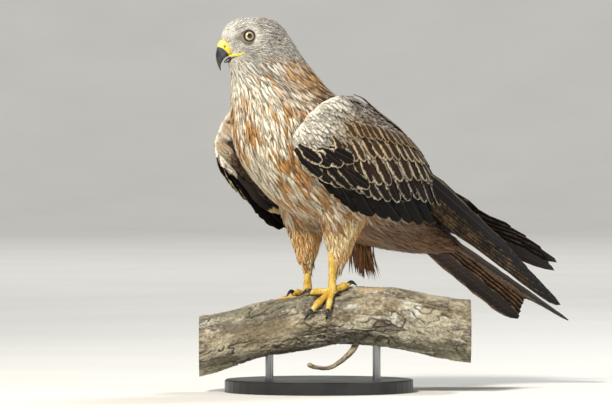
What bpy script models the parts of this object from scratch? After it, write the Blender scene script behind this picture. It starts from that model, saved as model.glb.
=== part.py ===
"""Red kite, life size, gripping a short cut length of branch on a plain display stand.

The bird faces -Y and its own left is +X. The origin is the centre of the underside of
the stand's base. Sizes below are millimetres and become metres when a mesh is made.
"""

import math

import bpy
import numpy as np

MM = 0.001
GAP = 0.3

# Branch: the axis runs across the bird at this angle from +X, seen from above.
BRANCH_ANGLE = math.radians(50.0)
BRANCH_ALONG = np.array([math.cos(BRANCH_ANGLE), math.sin(BRANCH_ANGLE), 0.0])
BRANCH_FRONT = np.array([math.sin(BRANCH_ANGLE), -math.cos(BRANCH_ANGLE), 0.0])
UP = np.array([0.0, 0.0, 1.0])
# Distance along the branch, height of its axis, radius.
BRANCH_STATIONS = np.array([
    (-150.0, 58.0, 38.0),
    (-112.0, 66.6, 36.0),
    (-62.0, 79.0, 35.0),
    (-13.0, 89.0, 35.5),
    (41.0, 95.5, 36.5),
    (101.0, 91.0, 38.5),
    (160.0, 81.0, 39.5),
    (190.0, 75.0, 40.5),
])
BRANCH_SIDES = 16
BRANCH_RINGS = 17
# Bark waves: share of the radius, lobes round the branch, distance for one radian, start.
BARK_WAVES = ((0.025, 3, 23.0, 0.0), (0.02, 5, -15.0, 1.0))
# Dead twig under the branch: distance along, height, distance to the front, radius.
TWIG_STATIONS = np.array([
    (48.0, 64.0, 2.0, 4.6),
    (43.0, 54.0, 5.0, 4.3),
    (32.0, 42.5, 9.0, 3.6),
    (14.0, 31.0, 12.0, 3.0),
    (-3.0, 31.0, 12.0, 2.9),
    (-14.5, 35.0, 10.0, 3.6),
])

# Stand.
BASE_RADIUS = 118.0
BASE_THICKNESS = 16.0
BASE_BEVEL = 1.5
ROD_RADIUS = 5.0
ROD_PLACES = (-62.0, 72.0)
ROD_SINK = 9.0
SOCKET_ABOVE = 20.0

# Head to tail: front edge (y, z), back edge (y, z), half width, narrowing of the front.
BODY_STATIONS = np.array([
    (-111.0, 468.4, -99.0, 468.6, 5.0, 0.0),
    (-123.0, 465.6, -86.0, 466.6, 14.0, 0.15),
    (-138.0, 458.0, -69.0, 460.0, 22.5, 0.30),
    (-146.5, 443.0, -57.0, 447.0, 26.5, 0.42),
    (-132.0, 428.0, -46.0, 431.0, 28.5, 0.30),
    (-137.0, 410.0, -33.0, 414.0, 31.0, 0.15),
    (-132.0, 396.0, -14.0, 393.0, 37.0, 0.0),
    (-131.0, 376.0, 8.0, 374.0, 46.0, 0.0),
    (-129.0, 350.0, 32.0, 360.0, 58.0, 0.0),
    (-124.0, 320.0, 62.0, 340.0, 67.0, 0.0),
    (-110.0, 289.0, 90.0, 316.0, 71.0, 0.0),
    (-83.0, 259.0, 115.0, 290.0, 71.0, 0.0),
    (-45.0, 230.0, 135.0, 266.0, 66.0, 0.0),
    (10.0, 203.0, 146.0, 252.0, 59.0, 0.0),
    (64.0, 186.0, 156.0, 240.0, 50.0, 0.0),
    (114.0, 177.0, 167.0, 228.0, 41.0, 0.0),
    (164.0, 171.0, 190.0, 210.0, 33.0, 0.0),
    (212.0, 170.0, 222.0, 187.0, 26.0, 0.0),
])
BODY_SIDES = 22
BODY_SQUARENESS = 2.2
HEAD_END, NECK_END, TORSO_END, TAIL_CORE_END = 5.3, 7.6, 15.0, 17.0
HEAD_YAW = math.radians(-15.0)
YAW_FULL, YAW_NONE = 4.2, 7.0
NECK_AXIS_Y = -75.0

# Eye: place on the head before it turns, and size of the ball.
EYE_CENTRE = np.array([17.8, -117.0, 443.7])
EYE_AXIS = np.array([10.0, -1.5, 0.5])
EYE_RADIUS = 8.4
LID_RADIUS = 6.9
LID_TUBE = 1.9

# Bill: upper edge (y, z), lower edge (y, z), half width.
BILL_UPPER_STATIONS = np.array([
    (-129.0, 440.5, -122.0, 421.5, 7.8),
    (-141.5, 440.4, -131.0, 420.0, 7.9),
    (-147.8, 436.4, -137.5, 418.4, 7.4),
    (-150.8, 428.6, -141.8, 415.8, 6.2),
    (-152.2, 419.4, -144.8, 411.6, 4.5),
    (-150.6, 410.4, -146.4, 407.0, 2.6),
    (-146.9, 401.4, -145.9, 401.8, 0.9),
])
BILL_LOWER_STATIONS = np.array([
    (-122.0, 420.6, -122.0, 411.5, 7.4),
    (-131.0, 419.2, -132.0, 409.8, 6.8),
    (-138.0, 416.6, -138.2, 409.4, 5.0),
    (-143.1, 411.8, -142.4, 409.6, 2.2),
])
GAPE_PATH = np.array([
    (6.6, -138.0, 420.8, 2.3),
    (11.5, -129.0, 421.8, 2.0),
    (15.8, -119.0, 424.2, 1.7),
    (18.6, -109.5, 426.6, 1.1),
])

NOSTRIL_PATH = np.array([(5.4, -142.6, 430.9), (9.6, -143.3, 431.4)])
NOSTRIL_RADIUS = 1.3

# Folded wing: a shell about a sloping axis. Distance along, centre, half width, half depth,
# then its core's lower edge and upper edge in degrees round the axis, and thickness.
WING_SLOPE = math.radians(38.0)
WING_ALONG = np.array([0.0, math.cos(WING_SLOPE), -math.sin(WING_SLOPE)])
WING_OUT = np.array([0.0, math.sin(WING_SLOPE), math.cos(WING_SLOPE)])
WING_AXES = np.array([(1.0, 0.0, 0.0), WING_ALONG, WING_OUT])
WING_ORIGIN = np.array([0.0, 0.0, 300.0])
WING_SQUARENESS = 2.9
WING_STATIONS = np.array([
    (-97.0, -9.0, 74.0, 66.0, -26.0, -4.0, 6.0),
    (-90.0, -7.0, 82.0, 72.0, -36.0, 8.0, 12.0),
    (-72.0, -5.0, 86.0, 77.0, -42.0, 26.0, 16.0),
    (-39.0, -4.0, 88.0, 77.0, -43.0, 48.0, 17.0),
    (0.0, -4.0, 89.0, 79.0, -40.0, 68.0, 16.0),
    (50.0, -3.0, 88.0, 84.0, -24.0, 78.0, 14.0),
    (100.0, 0.0, 83.0, 77.0, -2.0, 77.0, 12.0),
    (150.0, 7.0, 71.0, 60.0, 28.0, 76.0, 10.0),
    (188.0, 16.5, 64.0, 50.0, 48.0, 72.0, 7.0),
    (230.0, 27.0, 58.0, 43.0, 50.0, 70.0, 5.0),
    (300.0, 48.0, 50.0, 28.0, 50.0, 62.0, 4.0),
    (386.0, 66.0, 46.0, 16.0, 50.0, 60.0, 2.0),
    (414.0, 70.0, 44.0, 12.0, 50.0, 60.0, 2.0),
])
WING_CORE_END = 186.0
WING_CORE_RINGS = 11
WING_ARC_POINTS = 6
# Share of a core's thickness at its edges, and how quickly it fills out between them.
WING_EDGE_SHARE = 0.25
WING_EDGE_POWER = 0.5
# Space beside the thigh: distances along, degrees round the axis, outer and inner lift.
WING_ROOM_ALONG = (-70.0, 140.0)
WING_ROOM_DEGREES = (-47.0, 20.0)
WING_ROOM_LIFTS = (9.0, -18.0)

# Tiers of a folded wing. Each has its tips, first to last, as distance along the wing and
# degrees round it, then the first and last length, the first and last width, the swing of
# its feathers below the wing's axis, the rise of the tips over the core, and the number.
WING_TIERS = {
    "secondaries": (
        ((10, -36), (50, -31), (92, -17), (133, -5), (170, 4), (205, 27), (228, 56)),
        (78, 122), (27, 32), 12, -1.8, 9,
    ),
    "greater_coverts": (
        ((2, -27), (50, -13), (98, 0), (146, 14), (194, 50)),
        (56, 78), (25, 30), 17, 2.2, 8,
    ),
    "median_coverts": (
        ((-30, -16), (10, -5), (55, 5), (100, 24), (142, 66)),
        (40, 50), (22, 25), 17, 4.3, 7,
    ),
    "primary_coverts": (
        ((-30, -38), (-5, -32), (14, -21), (31, -11)),
        (50, 64), (20, 23), 0, 4.6, 4,
    ),
    "alula": (
        ((-42, -26), (-20, -17), (-15, -3)),
        (38, 46), (19, 21), -12, 6.4, 3,
    ),
    "scapulars": (
        ((20, 50), (62, 55), (106, 60), (148, 64), (184, 66)),
        (60, 70), (28, 30), 9, 3.4, 5,
    ),
}
# Folded primaries, lowest first: where each ends along the wing.
PRIMARY_ENDS = {
    "left": (408.0, 387.0, 366.0, 345.0, 325.0, 304.0),
    "right": (413.0, 397.0, 403.0, 372.0, 341.0, 312.0),
}
# Tip of the lowest primary along, across and outward, and the step across to the next.
PRIMARY_TIP = {"left": (408.0, 45.0, 73.0), "right": (413.0, 70.0, 58.0)}
PRIMARY_STEP = {"left": 4.2, "right": 7.5}
PRIMARY_ROOT = (80.0, math.radians(8.0), -8.5)
PRIMARY_LAYER = 1.0
PRIMARY_TIP_NORMAL = np.array([0.42, 0.0, 0.91])
PRIMARY_WIDTH = 26.0
# Share of a primary's length where it starts to turn flat, and the share that this takes.
PRIMARY_TWIST = (0.15, 0.4)
VANE_SINK = 4.0
VANE_TILT = 0.07
VANE_THICKNESS = 0.6
VANE_ROOT_DROP = 0.35
VANE_LENGTH_CHANGE = 0.04
# A vane's sections: share of its length, and share of its half width.
VANE_SHARES = np.array([0.0, 0.3, 0.82, 1.0])
VANE_WIDTHS = np.array([0.25, 0.85, 0.95, 0.28])

# The right wing hangs a little lower at the wrist and its tip rides higher.
RIGHT_WRIST = np.array([-80.0, -98.0, 325.0])
RIGHT_WING_PIVOT = np.array([-80.0, -40.0, 300.0])
RIGHT_WING_PITCH = math.radians(9.0)
RIGHT_WING_YAW = math.radians(-8.0)
RIGHT_WING_STRETCH = 1.045
# Droop and sink: depth, distance along at their middle, and reach on each side of it.
RIGHT_WING_DROOP = (31.0, 30.0, 75.0)
RIGHT_WING_SINK = (12.0, 225.0, 80.0)

# Tail: root, slope and feathers.
TAIL_ROOT = np.array([0.0, 109.0, 245.0])
TAIL_SLOPE = math.radians(29.2)
TAIL_ALONG = np.array([0.0, math.cos(TAIL_SLOPE), -math.sin(TAIL_SLOPE)])
TAIL_UP = np.array([0.0, math.sin(TAIL_SLOPE), math.cos(TAIL_SLOPE)])
TAIL_FEATHERS = 12
TAIL_FEATHER_START = 66.0
TAIL_MIDDLE_LENGTH = 275.0
TAIL_FORK = 37.0
TAIL_HALF_WIDTH = 66.0
TAIL_SPREAD_POWER = 0.38
TAIL_FEATHER_HALF_WIDTH = 18.0
TAIL_LAYER = 1.2
TAIL_EDGE_DROP = 9.0
TAIL_FORK_POWER = 1.4
TAIL_ROOT_SHARE = 0.62

# Legs: height, half size across, half size fore and aft, shift fore and aft.
LEG_PLACES = {"left": (28.0, -2.0), "right": (-28.0, 5.0)}
THIGH_STATIONS = np.array([
    (244.0, 31.0, 44.0, 16.0, 6.0),
    (222.0, 27.0, 36.0, 12.0, 4.0),
    (200.0, 21.0, 26.0, 9.0, 2.0),
    (180.0, 15.0, 18.5, 8.0, 0.0),
    (166.0, 11.0, 14.0, 7.0, 0.0),
    (154.0, 5.5, 7.5, 6.0, 0.0),
])
THIGH_BACK = {"left": 4.0, "right": -10.0}
THIGH_SIDES = 16
TARSUS_RADII = ((176.0, 4.6, 5.4), (160.0, 4.2, 5.0), (142.0, 4.2, 4.8), (129.5, 5.6, 5.8))
# Toe: direction in degrees from straight ahead towards the bird's left, length, radius.
TOES = {
    "left": ((-48.0, 29.0, 4.4), (6.0, 39.0, 4.3), (40.0, 32.0, 3.9), (176.0, 27.0, 4.5)),
    "right": ((8.0, 29.0, 4.4), (-40.0, 44.0, 4.3), (-92.0, 34.0, 3.9), (170.0, 27.0, 4.5)),
}
TOE_NAMES = ("inner", "middle", "outer", "hind")
TOE_SIDES = 6
TOE_SWELL = np.array([1.15, 0.95, 1.0, 0.88, 0.98, 0.84, 0.72])
TOE_ROOT_RISE = 1.5
HEEL_RADIUS = 6.6
CLAW_LENGTH = 19.0
CLAW_SHOWN = 0.72
CLAW_SINK = 2.5
CLAW_RADIUS = 2.7
CLAW_TIP_RADIUS = 0.25
CLAW_ARCH = 3.6
CLAW_TIP_LIFT = 0.6
CLAW_SIDES = 5

# Plain colours.
WOOD_BROWN = (0.3, 0.25, 0.2)
STAND_BLACK = (0.03, 0.03, 0.03)
STEEL_GREY = (0.6, 0.6, 0.6)
SKIN_YELLOW = (0.85, 0.55, 0.08)
HORN_BLACK = (0.05, 0.05, 0.06)
EYE_CREAM = (0.7, 0.6, 0.4)
HEAD_GREY = (0.75, 0.73, 0.7)
NECK_BUFF = (0.8, 0.65, 0.5)
BODY_RUFOUS = (0.75, 0.5, 0.3)
WING_BROWN = (0.25, 0.17, 0.12)
TAIL_RUFOUS = (0.6, 0.35, 0.18)


def signed_power(value, power):
    """The value's size raised to the power, with its sign kept."""
    return np.sign(value) * np.abs(value) ** power


def through(table, places):
    """A smooth curve through the table's rows, read at these row numbers."""
    rows = np.arange(len(table))
    slopes = np.gradient(table, axis=0)
    places = np.clip(np.asarray(places, float), 0, len(table) - 1)
    low = np.minimum(places.astype(int), len(table) - 2)
    t = (places - rows[low])[:, None]
    a, b = table[low], table[low + 1]
    ta, tb = slopes[low], slopes[low + 1]
    return (
        (2 * t**3 - 3 * t**2 + 1) * a + (t**3 - 2 * t**2 + t) * ta
        + (3 * t**2 - 2 * t**3) * b + (t**3 - t**2) * tb
    )


def bell(value, height, middle, width):
    """A bell-shaped curve of this height about the middle."""
    return height * np.exp(-(((value - middle) / width) ** 2))


def at_distance(table, distances):
    """The table's other columns at these distances, the first column being the distance."""
    rows = np.interp(distances, table[:, 0], np.arange(len(table)))
    return through(table[:, 1:], rows)


def new_object(name, points, faces, colour, roughness=0.6, metallic=0.0):
    """A mesh object in metres with its own material."""
    mesh = bpy.data.meshes.new(name)
    mesh.from_pydata([tuple(p * MM) for p in np.asarray(points, float)], [], faces)
    mesh.validate()
    obj = bpy.data.objects.new(name, mesh)
    bpy.context.collection.objects.link(obj)
    material = bpy.data.materials.new(name)
    material.use_nodes = True
    shader = material.node_tree.nodes["Principled BSDF"]
    shader.inputs["Base Color"].default_value = (*colour, 1.0)
    shader.inputs["Roughness"].default_value = roughness
    shader.inputs["Metallic"].default_value = metallic
    mesh.materials.append(material)
    return obj


def facing_out(points, faces):
    """The triangles, all turned round if they enclose their solid from the inside."""
    corners = points[np.array(faces)]
    volume = np.einsum("ij,ij->i", corners[:, 0], np.cross(corners[:, 1], corners[:, 2])).sum()
    return faces if volume > 0 else [face[::-1] for face in faces]


def skin_rings(rings):
    """Points and triangles of a closed body through rings of equal size."""
    rings = np.asarray(rings, float)
    count, sides = rings.shape[:2]
    points = np.vstack([rings.reshape(-1, 3), rings[0].mean(axis=0), rings[-1].mean(axis=0)])
    first_cap, last_cap = count * sides, count * sides + 1
    faces = []
    for i in range(count - 1):
        for j in range(sides):
            k = (j + 1) % sides
            a, b = i * sides + j, i * sides + k
            c, d = a + sides, b + sides
            faces.append((a, b, d))
            faces.append((a, d, c))
    for j in range(sides):
        k = (j + 1) % sides
        faces.append((first_cap, k, j))
        faces.append((last_cap, (count - 1) * sides + j, (count - 1) * sides + k))
    return points, faces


def loft(name, rings, colour, **finish):
    """A closed object through rings of equal size."""
    points, faces = skin_rings(rings)
    return new_object(name, points, facing_out(points, faces), colour, **finish)


def blade_faces(count):
    """Triangles of a flat feather with this many four-cornered sections.

    Both of its faces are split along the same diagonals, so that they never cross.
    """
    faces = [(0, 3, 2), (0, 2, 1)]
    for a in range(0, 4 * (count - 1), 4):
        faces += [(a, a + 1, a + 5), (a, a + 5, a + 4)]
        faces += [(a + 3, a + 6, a + 2), (a + 3, a + 7, a + 6)]
        faces += [(a + 1, a + 2, a + 6), (a + 1, a + 6, a + 5)]
        faces += [(a + 3, a, a + 4), (a + 3, a + 4, a + 7)]
    end = 4 * (count - 1)
    return faces + [(end, end + 1, end + 2), (end, end + 2, end + 3)]


def blade_points(left, right, normal, thickness):
    """Four corners of each section of a flat feather between its two edges."""
    rise = normal * thickness / 2
    return np.stack([left + rise, right + rise, right - rise, left - rise], axis=1)


def blade(name, sections, colour):
    """A closed feather through its sections."""
    points = sections.reshape(-1, 3)
    faces = facing_out(points, blade_faces(len(sections)))
    return new_object(name, points, faces, colour)


def keep_largest(obj):
    """Leaves only the mesh's largest closed surface."""
    mesh = obj.data
    parent = list(range(len(mesh.vertices)))

    def root(i):
        while parent[i] != i:
            parent[i] = parent[parent[i]]
            i = parent[i]
        return i

    for edge in mesh.edges:
        a, b = root(edge.vertices[0]), root(edge.vertices[1])
        parent[a] = b
    mesh.calc_loop_triangles()
    volumes = {}
    for triangle in mesh.loop_triangles:
        a, b, c = (mesh.vertices[i].co for i in triangle.vertices)
        key = root(triangle.vertices[0])
        volumes[key] = volumes.get(key, 0.0) + a.dot(b.cross(c))
    best = max(volumes, key=volumes.get)
    kept = [i for i in range(len(parent)) if root(i) == best]
    if len(kept) == len(parent):
        return
    number = {old: new for new, old in enumerate(kept)}
    points = [tuple(mesh.vertices[i].co) for i in kept]
    faces = [
        tuple(number[i] for i in polygon.vertices)
        for polygon in mesh.polygons
        if polygon.vertices[0] in number
    ]
    mesh.clear_geometry()
    mesh.from_pydata(points, [], faces)


def combine(obj, others, operation, solver="EXACT"):
    """Applies one Boolean of the object with the others, removes them, keeps one surface."""
    group = bpy.data.collections.new(obj.name + "_pieces")
    bpy.context.scene.collection.children.link(group)
    for other in others:
        for home in list(other.users_collection):
            home.objects.unlink(other)
        group.objects.link(other)
    modifier = obj.modifiers.new(operation.lower(), "BOOLEAN")
    modifier.operation = operation
    modifier.operand_type = "COLLECTION"
    modifier.collection = group
    modifier.solver = solver
    graph = bpy.context.evaluated_depsgraph_get()
    mesh = bpy.data.meshes.new_from_object(obj.evaluated_get(graph), depsgraph=graph)
    obj.modifiers.clear()
    materials = list(obj.data.materials)
    obj.data = mesh
    obj.data.materials.clear()
    for material in materials[:1]:
        obj.data.materials.append(material)
    for other in others:
        bpy.data.objects.remove(other, do_unlink=True)
    bpy.data.collections.remove(group)
    keep_largest(obj)
    return obj


def turned(points, pivot, axis, angle):
    """The points turned about an axis through the pivot."""
    axis = np.asarray(axis, float) / np.linalg.norm(axis)
    offset = np.asarray(points, float) - pivot
    cross = np.cross(np.broadcast_to(axis, offset.shape), offset)
    along = (offset @ axis)[..., None] * axis
    return pivot + offset * math.cos(angle) + cross * math.sin(angle) + along * (1 - math.cos(angle))


def head_turned(points):
    """Points of the head, turned to the bird's right about the neck."""
    return turned(points, np.array([0.0, NECK_AXIS_Y, 0.0]), UP, HEAD_YAW)


def body_rings(places, grow=0.0, sides=BODY_SIDES):
    """Rings of the head, neck and body at these rows of the body's table."""
    angle = np.linspace(0, 2 * math.pi, sides, endpoint=False)
    across = signed_power(np.cos(angle), 2 / BODY_SQUARENESS)
    along = signed_power(np.sin(angle), 2 / BODY_SQUARENESS)
    rings = []
    for place, row in zip(places, through(BODY_STATIONS, places)):
        front, back = np.array([0.0, row[0], row[1]]), np.array([0.0, row[2], row[3]])
        middle, reach = (front + back) / 2, (back - front) / 2
        half_depth = np.linalg.norm(reach)
        narrow = 1 - row[5] * np.clip((-along - 0.2) / 0.8, 0, 1) ** 1.5
        ring = middle + np.outer(along * (half_depth + grow), reach / half_depth)
        ring[:, 0] += across * (row[4] + grow) * narrow
        turn = HEAD_YAW * np.clip((YAW_NONE - place) / (YAW_NONE - YAW_FULL), 0, 1)
        rings.append(turned(ring, np.array([0.0, NECK_AXIS_Y, 0.0]), UP, turn))
    return np.array(rings)


def body_piece(name, first, last, rows, colour, grow=0.0, gap=0.0):
    """One length of the body, its first ring moved on by the gap."""
    rings = body_rings(np.linspace(first, last, rows), grow)
    if gap:
        step = rings[1].mean(axis=0) - rings[0].mean(axis=0)
        rings[0] += step / np.linalg.norm(step) * gap
    return loft(name, rings, colour)


def edge_rings(stations, rows, sides=14, grow=0.0, power=2.2):
    """Rings between an upper and a lower edge that lie in the bird's middle plane."""
    angle = np.linspace(0, 2 * math.pi, sides, endpoint=False)
    across = signed_power(np.cos(angle), 2 / power)
    along = signed_power(np.sin(angle), 2 / power)
    rings = []
    for row in through(stations, np.linspace(0, len(stations) - 1, rows)):
        top, bottom = np.array([0.0, row[0], row[1]]), np.array([0.0, row[2], row[3]])
        middle, reach = (top + bottom) / 2, (top - bottom) / 2
        half = max(np.linalg.norm(reach), 0.2)
        ring = middle + np.outer(along * (half + grow), reach / half)
        ring[:, 0] += across * (row[4] + grow)
        rings.append(ring)
    return np.array(rings)


def tube_rings(path, radii, sides=TOE_SIDES, flatten=1.0, start=None):
    """Rings square to a path; flatten scales them along their second direction."""
    path = np.asarray(path, float)
    heading = np.gradient(path, axis=0)
    heading /= np.linalg.norm(heading, axis=1)[:, None]
    side = np.cross(heading[0], start if start is not None else UP)
    angle = np.linspace(0, 2 * math.pi, sides, endpoint=False)
    rings = []
    for point, ahead, radius in zip(path, heading, radii):
        side = side - ahead * (side @ ahead)
        side /= np.linalg.norm(side)
        lift = np.cross(side, ahead)
        rings.append(
            point + radius * (np.outer(np.cos(angle), side) + flatten * np.outer(np.sin(angle), lift))
        )
    return np.array(rings)


def ball(name, centre, radius, colour, rings=7, sides=12, axis=UP, squash=1.0, **finish):
    """A ball, flattened along its axis by squash."""
    lift = np.linspace(-0.97 * math.pi / 2, 0.97 * math.pi / 2, rings)
    path = centre + np.outer(radius * squash * np.sin(lift), axis)
    start = np.array([0.0, 0.3, 1.0]) if abs(axis[2]) < 0.9 else np.array([1.0, 0.0, 0.0])
    return loft(name, tube_rings(path, radius * np.cos(lift), sides, start=start), colour, **finish)


def branch_point(along, angle, lift=0.0):
    """A point on the branch: angle 0 faces the front, a quarter turn is the top."""
    along = np.asarray(along, float)
    angle = np.asarray(angle, float)
    height, radius = at_distance(BRANCH_STATIONS, along.ravel()).T
    height, radius = height.reshape(along.shape), radius.reshape(along.shape)
    bark = 1 + sum(
        share * np.sin(lobes * angle + along / length + start)
        for share, lobes, length, start in BARK_WAVES
    )
    reach = radius * bark + lift
    return (
        along[..., None] * BRANCH_ALONG
        + (height + reach * np.sin(angle))[..., None] * UP
        + (reach * np.cos(angle))[..., None] * BRANCH_FRONT
    )


def branch(name, grow=0.0):
    """The cut length of branch."""
    ends = BRANCH_STATIONS[0, 0] - grow, BRANCH_STATIONS[-1, 0] + grow
    along = np.linspace(*ends, BRANCH_RINGS)
    angle = np.linspace(0, 2 * math.pi, BRANCH_SIDES, endpoint=False)
    grid_along, grid_angle = np.meshgrid(along, angle, indexing="ij")
    return loft(name, branch_point(grid_along, grid_angle, grow), WOOD_BROWN, roughness=0.9)


def twig():
    """The dead twig that hangs under the branch, its root inside the branch."""
    table = through(TWIG_STATIONS, np.linspace(0, len(TWIG_STATIONS) - 1, 9))
    path = (
        table[:, :1] * BRANCH_ALONG + table[:, 1:2] * UP + table[:, 2:3] * BRANCH_FRONT
    )
    return loft("twig", tube_rings(path, table[:, 3], 8, start=BRANCH_FRONT), WOOD_BROWN)


def stand():
    """A round base and two short rods let into the branch."""
    angle = np.linspace(0, 2 * math.pi, 48, endpoint=False)
    circle = np.stack([np.cos(angle), np.sin(angle), np.zeros_like(angle)], axis=1)
    profile = (
        (BASE_RADIUS, 0.0),
        (BASE_RADIUS, BASE_THICKNESS - BASE_BEVEL),
        (BASE_RADIUS - BASE_BEVEL, BASE_THICKNESS),
    )
    rings = [circle * radius + UP * height for radius, height in profile]
    loft("stand_base", rings, STAND_BLACK, roughness=0.35)
    sockets = []
    for number, place in enumerate(ROD_PLACES, start=1):
        spot = branch_point(np.array([place]), np.array([-math.pi / 2]))[0]
        top = spot[2] + ROD_SINK
        for label, radius, low, high in (
            (f"stand_rod_{number}", ROD_RADIUS, BASE_THICKNESS + GAP, top),
            (f"socket_{number}", ROD_RADIUS + GAP, spot[2] - SOCKET_ABOVE, top + GAP),
        ):
            path = np.array([[spot[0], spot[1], low], [spot[0], spot[1], high]])
            rings = tube_rings(path, (radius, radius), 16, start=BRANCH_ALONG)
            obj = loft(label, rings, STEEL_GREY, roughness=0.3, metallic=1.0)
            if label.startswith("socket"):
                sockets.append(obj)
    return sockets


def perch():
    """The branch and its twig, with sockets for the stand's rods."""
    obj = combine(branch("perch"), [twig()], "UNION")
    return combine(obj, stand(), "DIFFERENCE")


def toe_start(side):
    """Where the foot's centre lies on the branch."""
    along, angle = toe_path(side, 0.0, 1.0, 5.0, 2)
    return along[:1], angle[:1]


def toe_path(side, heading, length, radius, count, first=0.0):
    """Points over the bark from the foot's centre, and where they lie on the branch."""
    x, y = LEG_PLACES[side]
    bearing = math.radians(heading)
    ahead = np.array([math.sin(bearing), -math.cos(bearing), 0.0])
    foot = np.array([x, y, 0.0])
    start_along = foot @ BRANCH_ALONG
    start_front = foot @ BRANCH_FRONT
    distance = np.linspace(first, length, count)
    along = start_along + distance * (ahead @ BRANCH_ALONG)
    mean_radius = at_distance(BRANCH_STATIONS, along)[:, 1] + radius
    over = (start_front + distance * (ahead @ BRANCH_FRONT)) / mean_radius
    return along, math.pi / 2 - over


def foot(side):
    """Tarsus and toes in one piece, with the claws as pieces of their own."""
    x, y = LEG_PLACES[side]
    path = np.array([(x, y, height) for height, _, _ in TARSUS_RADII])
    angle = np.linspace(0, 2 * math.pi, 10, endpoint=False)
    rings = [
        centre + np.stack([across * np.cos(angle), deep * np.sin(angle), 0 * angle], axis=1)
        for centre, (_, across, deep) in zip(path, TARSUS_RADII)
    ]
    shank = loft(f"foot_{side}", rings, SKIN_YELLOW)
    heel = branch_point(*toe_start(side), HEEL_RADIUS - 0.6)[0]
    pieces = [ball("heel", heel, HEEL_RADIUS, SKIN_YELLOW, rings=6, sides=10)]
    claws = []
    for toe_name, (heading, length, radius) in zip(TOE_NAMES, TOES[side]):
        along, angles = toe_path(side, heading, length, radius, len(TOE_SWELL))
        radii = radius * TOE_SWELL
        points = np.array([
            branch_point(np.array([a]), np.array([b]), r + 0.1)[0]
            for a, b, r in zip(along, angles, radii)
        ])
        points[0, 2] += TOE_ROOT_RISE
        pieces.append(loft("toe", tube_rings(points, radii), SKIN_YELLOW))
        reach = np.linspace(length - CLAW_SINK, length + CLAW_LENGTH * CLAW_SHOWN, 6)
        along, angles = toe_path(side, heading, length, radius, 2)
        step_along = (along[1] - along[0]) / length
        step_angle = (angles[1] - angles[0]) / length
        share = np.linspace(0, 1, 6)
        lifts = radius * TOE_SWELL[-1] * (1 - share) + CLAW_TIP_LIFT
        lifts += CLAW_ARCH * np.sin(math.pi * share) * (1 - share)
        claw_points = np.array([
            branch_point(
                np.array([along[0] + d * step_along]),
                np.array([angles[0] + d * step_angle]),
                lift,
            )[0]
            for d, lift in zip(reach, lifts)
        ])
        claw_radii = CLAW_RADIUS * (1 - share) ** 0.7 + CLAW_TIP_RADIUS
        claws.append((f"claw_{side}_{toe_name}", claw_points, claw_radii))
    obj = combine(shank, pieces, "UNION")
    cutters = [branch("bark", GAP)]
    for name, points, radii in claws:
        claw = loft(name, tube_rings(points, radii, CLAW_SIDES), HORN_BLACK, roughness=0.3)
        combine(claw, [branch("bark", GAP)], "DIFFERENCE")
        socket = tube_rings(points, radii + GAP, CLAW_SIDES)
        cutters.append(loft("claw_socket", socket, SKIN_YELLOW))
    combine(obj, cutters, "DIFFERENCE")
    return obj


def thigh(side):
    """Feathered thigh, cut clear of the body and of the tarsus that it holds."""
    x, y = LEG_PLACES[side]
    sign = math.copysign(1, x)
    angle = np.linspace(0, 2 * math.pi, THIGH_SIDES, endpoint=False)
    rings = []
    table = through(THIGH_STATIONS, np.linspace(0, len(THIGH_STATIONS) - 1, 9))
    for height, across, deep, back, out in table:
        ring = np.stack([across * np.cos(angle), deep * np.sin(angle), 0 * angle], axis=1)
        rings.append(ring + (x + sign * out, y + back + THIGH_BACK[side], height))
    obj = loft(f"thigh_{side}", rings, BODY_RUFOUS)
    trunk = body_piece("trunk", YAW_NONE, TAIL_CORE_END, 30, BODY_RUFOUS, GAP)
    shank_rings = [
        np.array((x, y, height)) + np.stack(
            [(across + GAP) * np.cos(angle), (deep + GAP) * np.sin(angle), 0 * angle], axis=1
        )
        for height, across, deep in TARSUS_RADII[:3]
    ]
    shank_rings[0][:, 2] += GAP
    shank = loft("shank_socket", shank_rings, BODY_RUFOUS)
    place = right_wing if side == "right" else np.asarray
    folded = loft("folded_wing", place(wing_room()), BODY_RUFOUS)
    return combine(obj, [trunk, shank, folded], "DIFFERENCE")


def wing_point(along, angle, lift=0.0):
    """A point on the left wing's shell at this distance along and angle round its axis."""
    along, angle = np.broadcast_arrays(np.asarray(along, float), np.asarray(angle, float))
    row = at_distance(WING_STATIONS, along.ravel())
    centre, wide, deep = (row[:, i].reshape(along.shape) for i in range(3))
    across = signed_power(np.cos(angle), 2 / WING_SQUARENESS) * (wide + lift)
    out = centre + signed_power(np.sin(angle), 2 / WING_SQUARENESS) * (deep + lift)
    place = WING_ORIGIN + along[..., None] * WING_ALONG + out[..., None] * WING_OUT
    place[..., 0] += across
    return place


def wing_frame(points):
    """Distance of points along the wing, across and outward, and the shell's sizes there."""
    offset = points - WING_ORIGIN
    along = offset @ WING_ALONG
    centre, wide, deep = at_distance(WING_STATIONS, along)[:, :3].T
    return along, points[:, 0], offset @ WING_OUT - centre, centre, wide, deep


def onto_wing(points, lift):
    """The points moved straight out from the wing's axis onto its shell, raised by lift."""
    along, across, out, centre, wide, deep = wing_frame(points)
    power = WING_SQUARENESS
    reach = np.abs(across / (wide + lift)) ** power + np.abs(out / (deep + lift)) ** power
    reach = reach ** (1 / power)
    placed = WING_ORIGIN + np.outer(along, WING_ALONG) + np.outer(centre + out / reach, WING_OUT)
    placed[:, 0] = across / reach
    return placed


def wing_normal(points):
    """Outward normals of the wing's shell near these points."""
    _, across, out, _, wide, deep = wing_frame(points)
    power = WING_SQUARENESS - 1
    normal = np.outer(signed_power(out / deep, power) / deep, WING_OUT)
    normal[:, 0] = signed_power(across / wide, power) / wide
    return normal / np.linalg.norm(normal, axis=1)[:, None]


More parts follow.
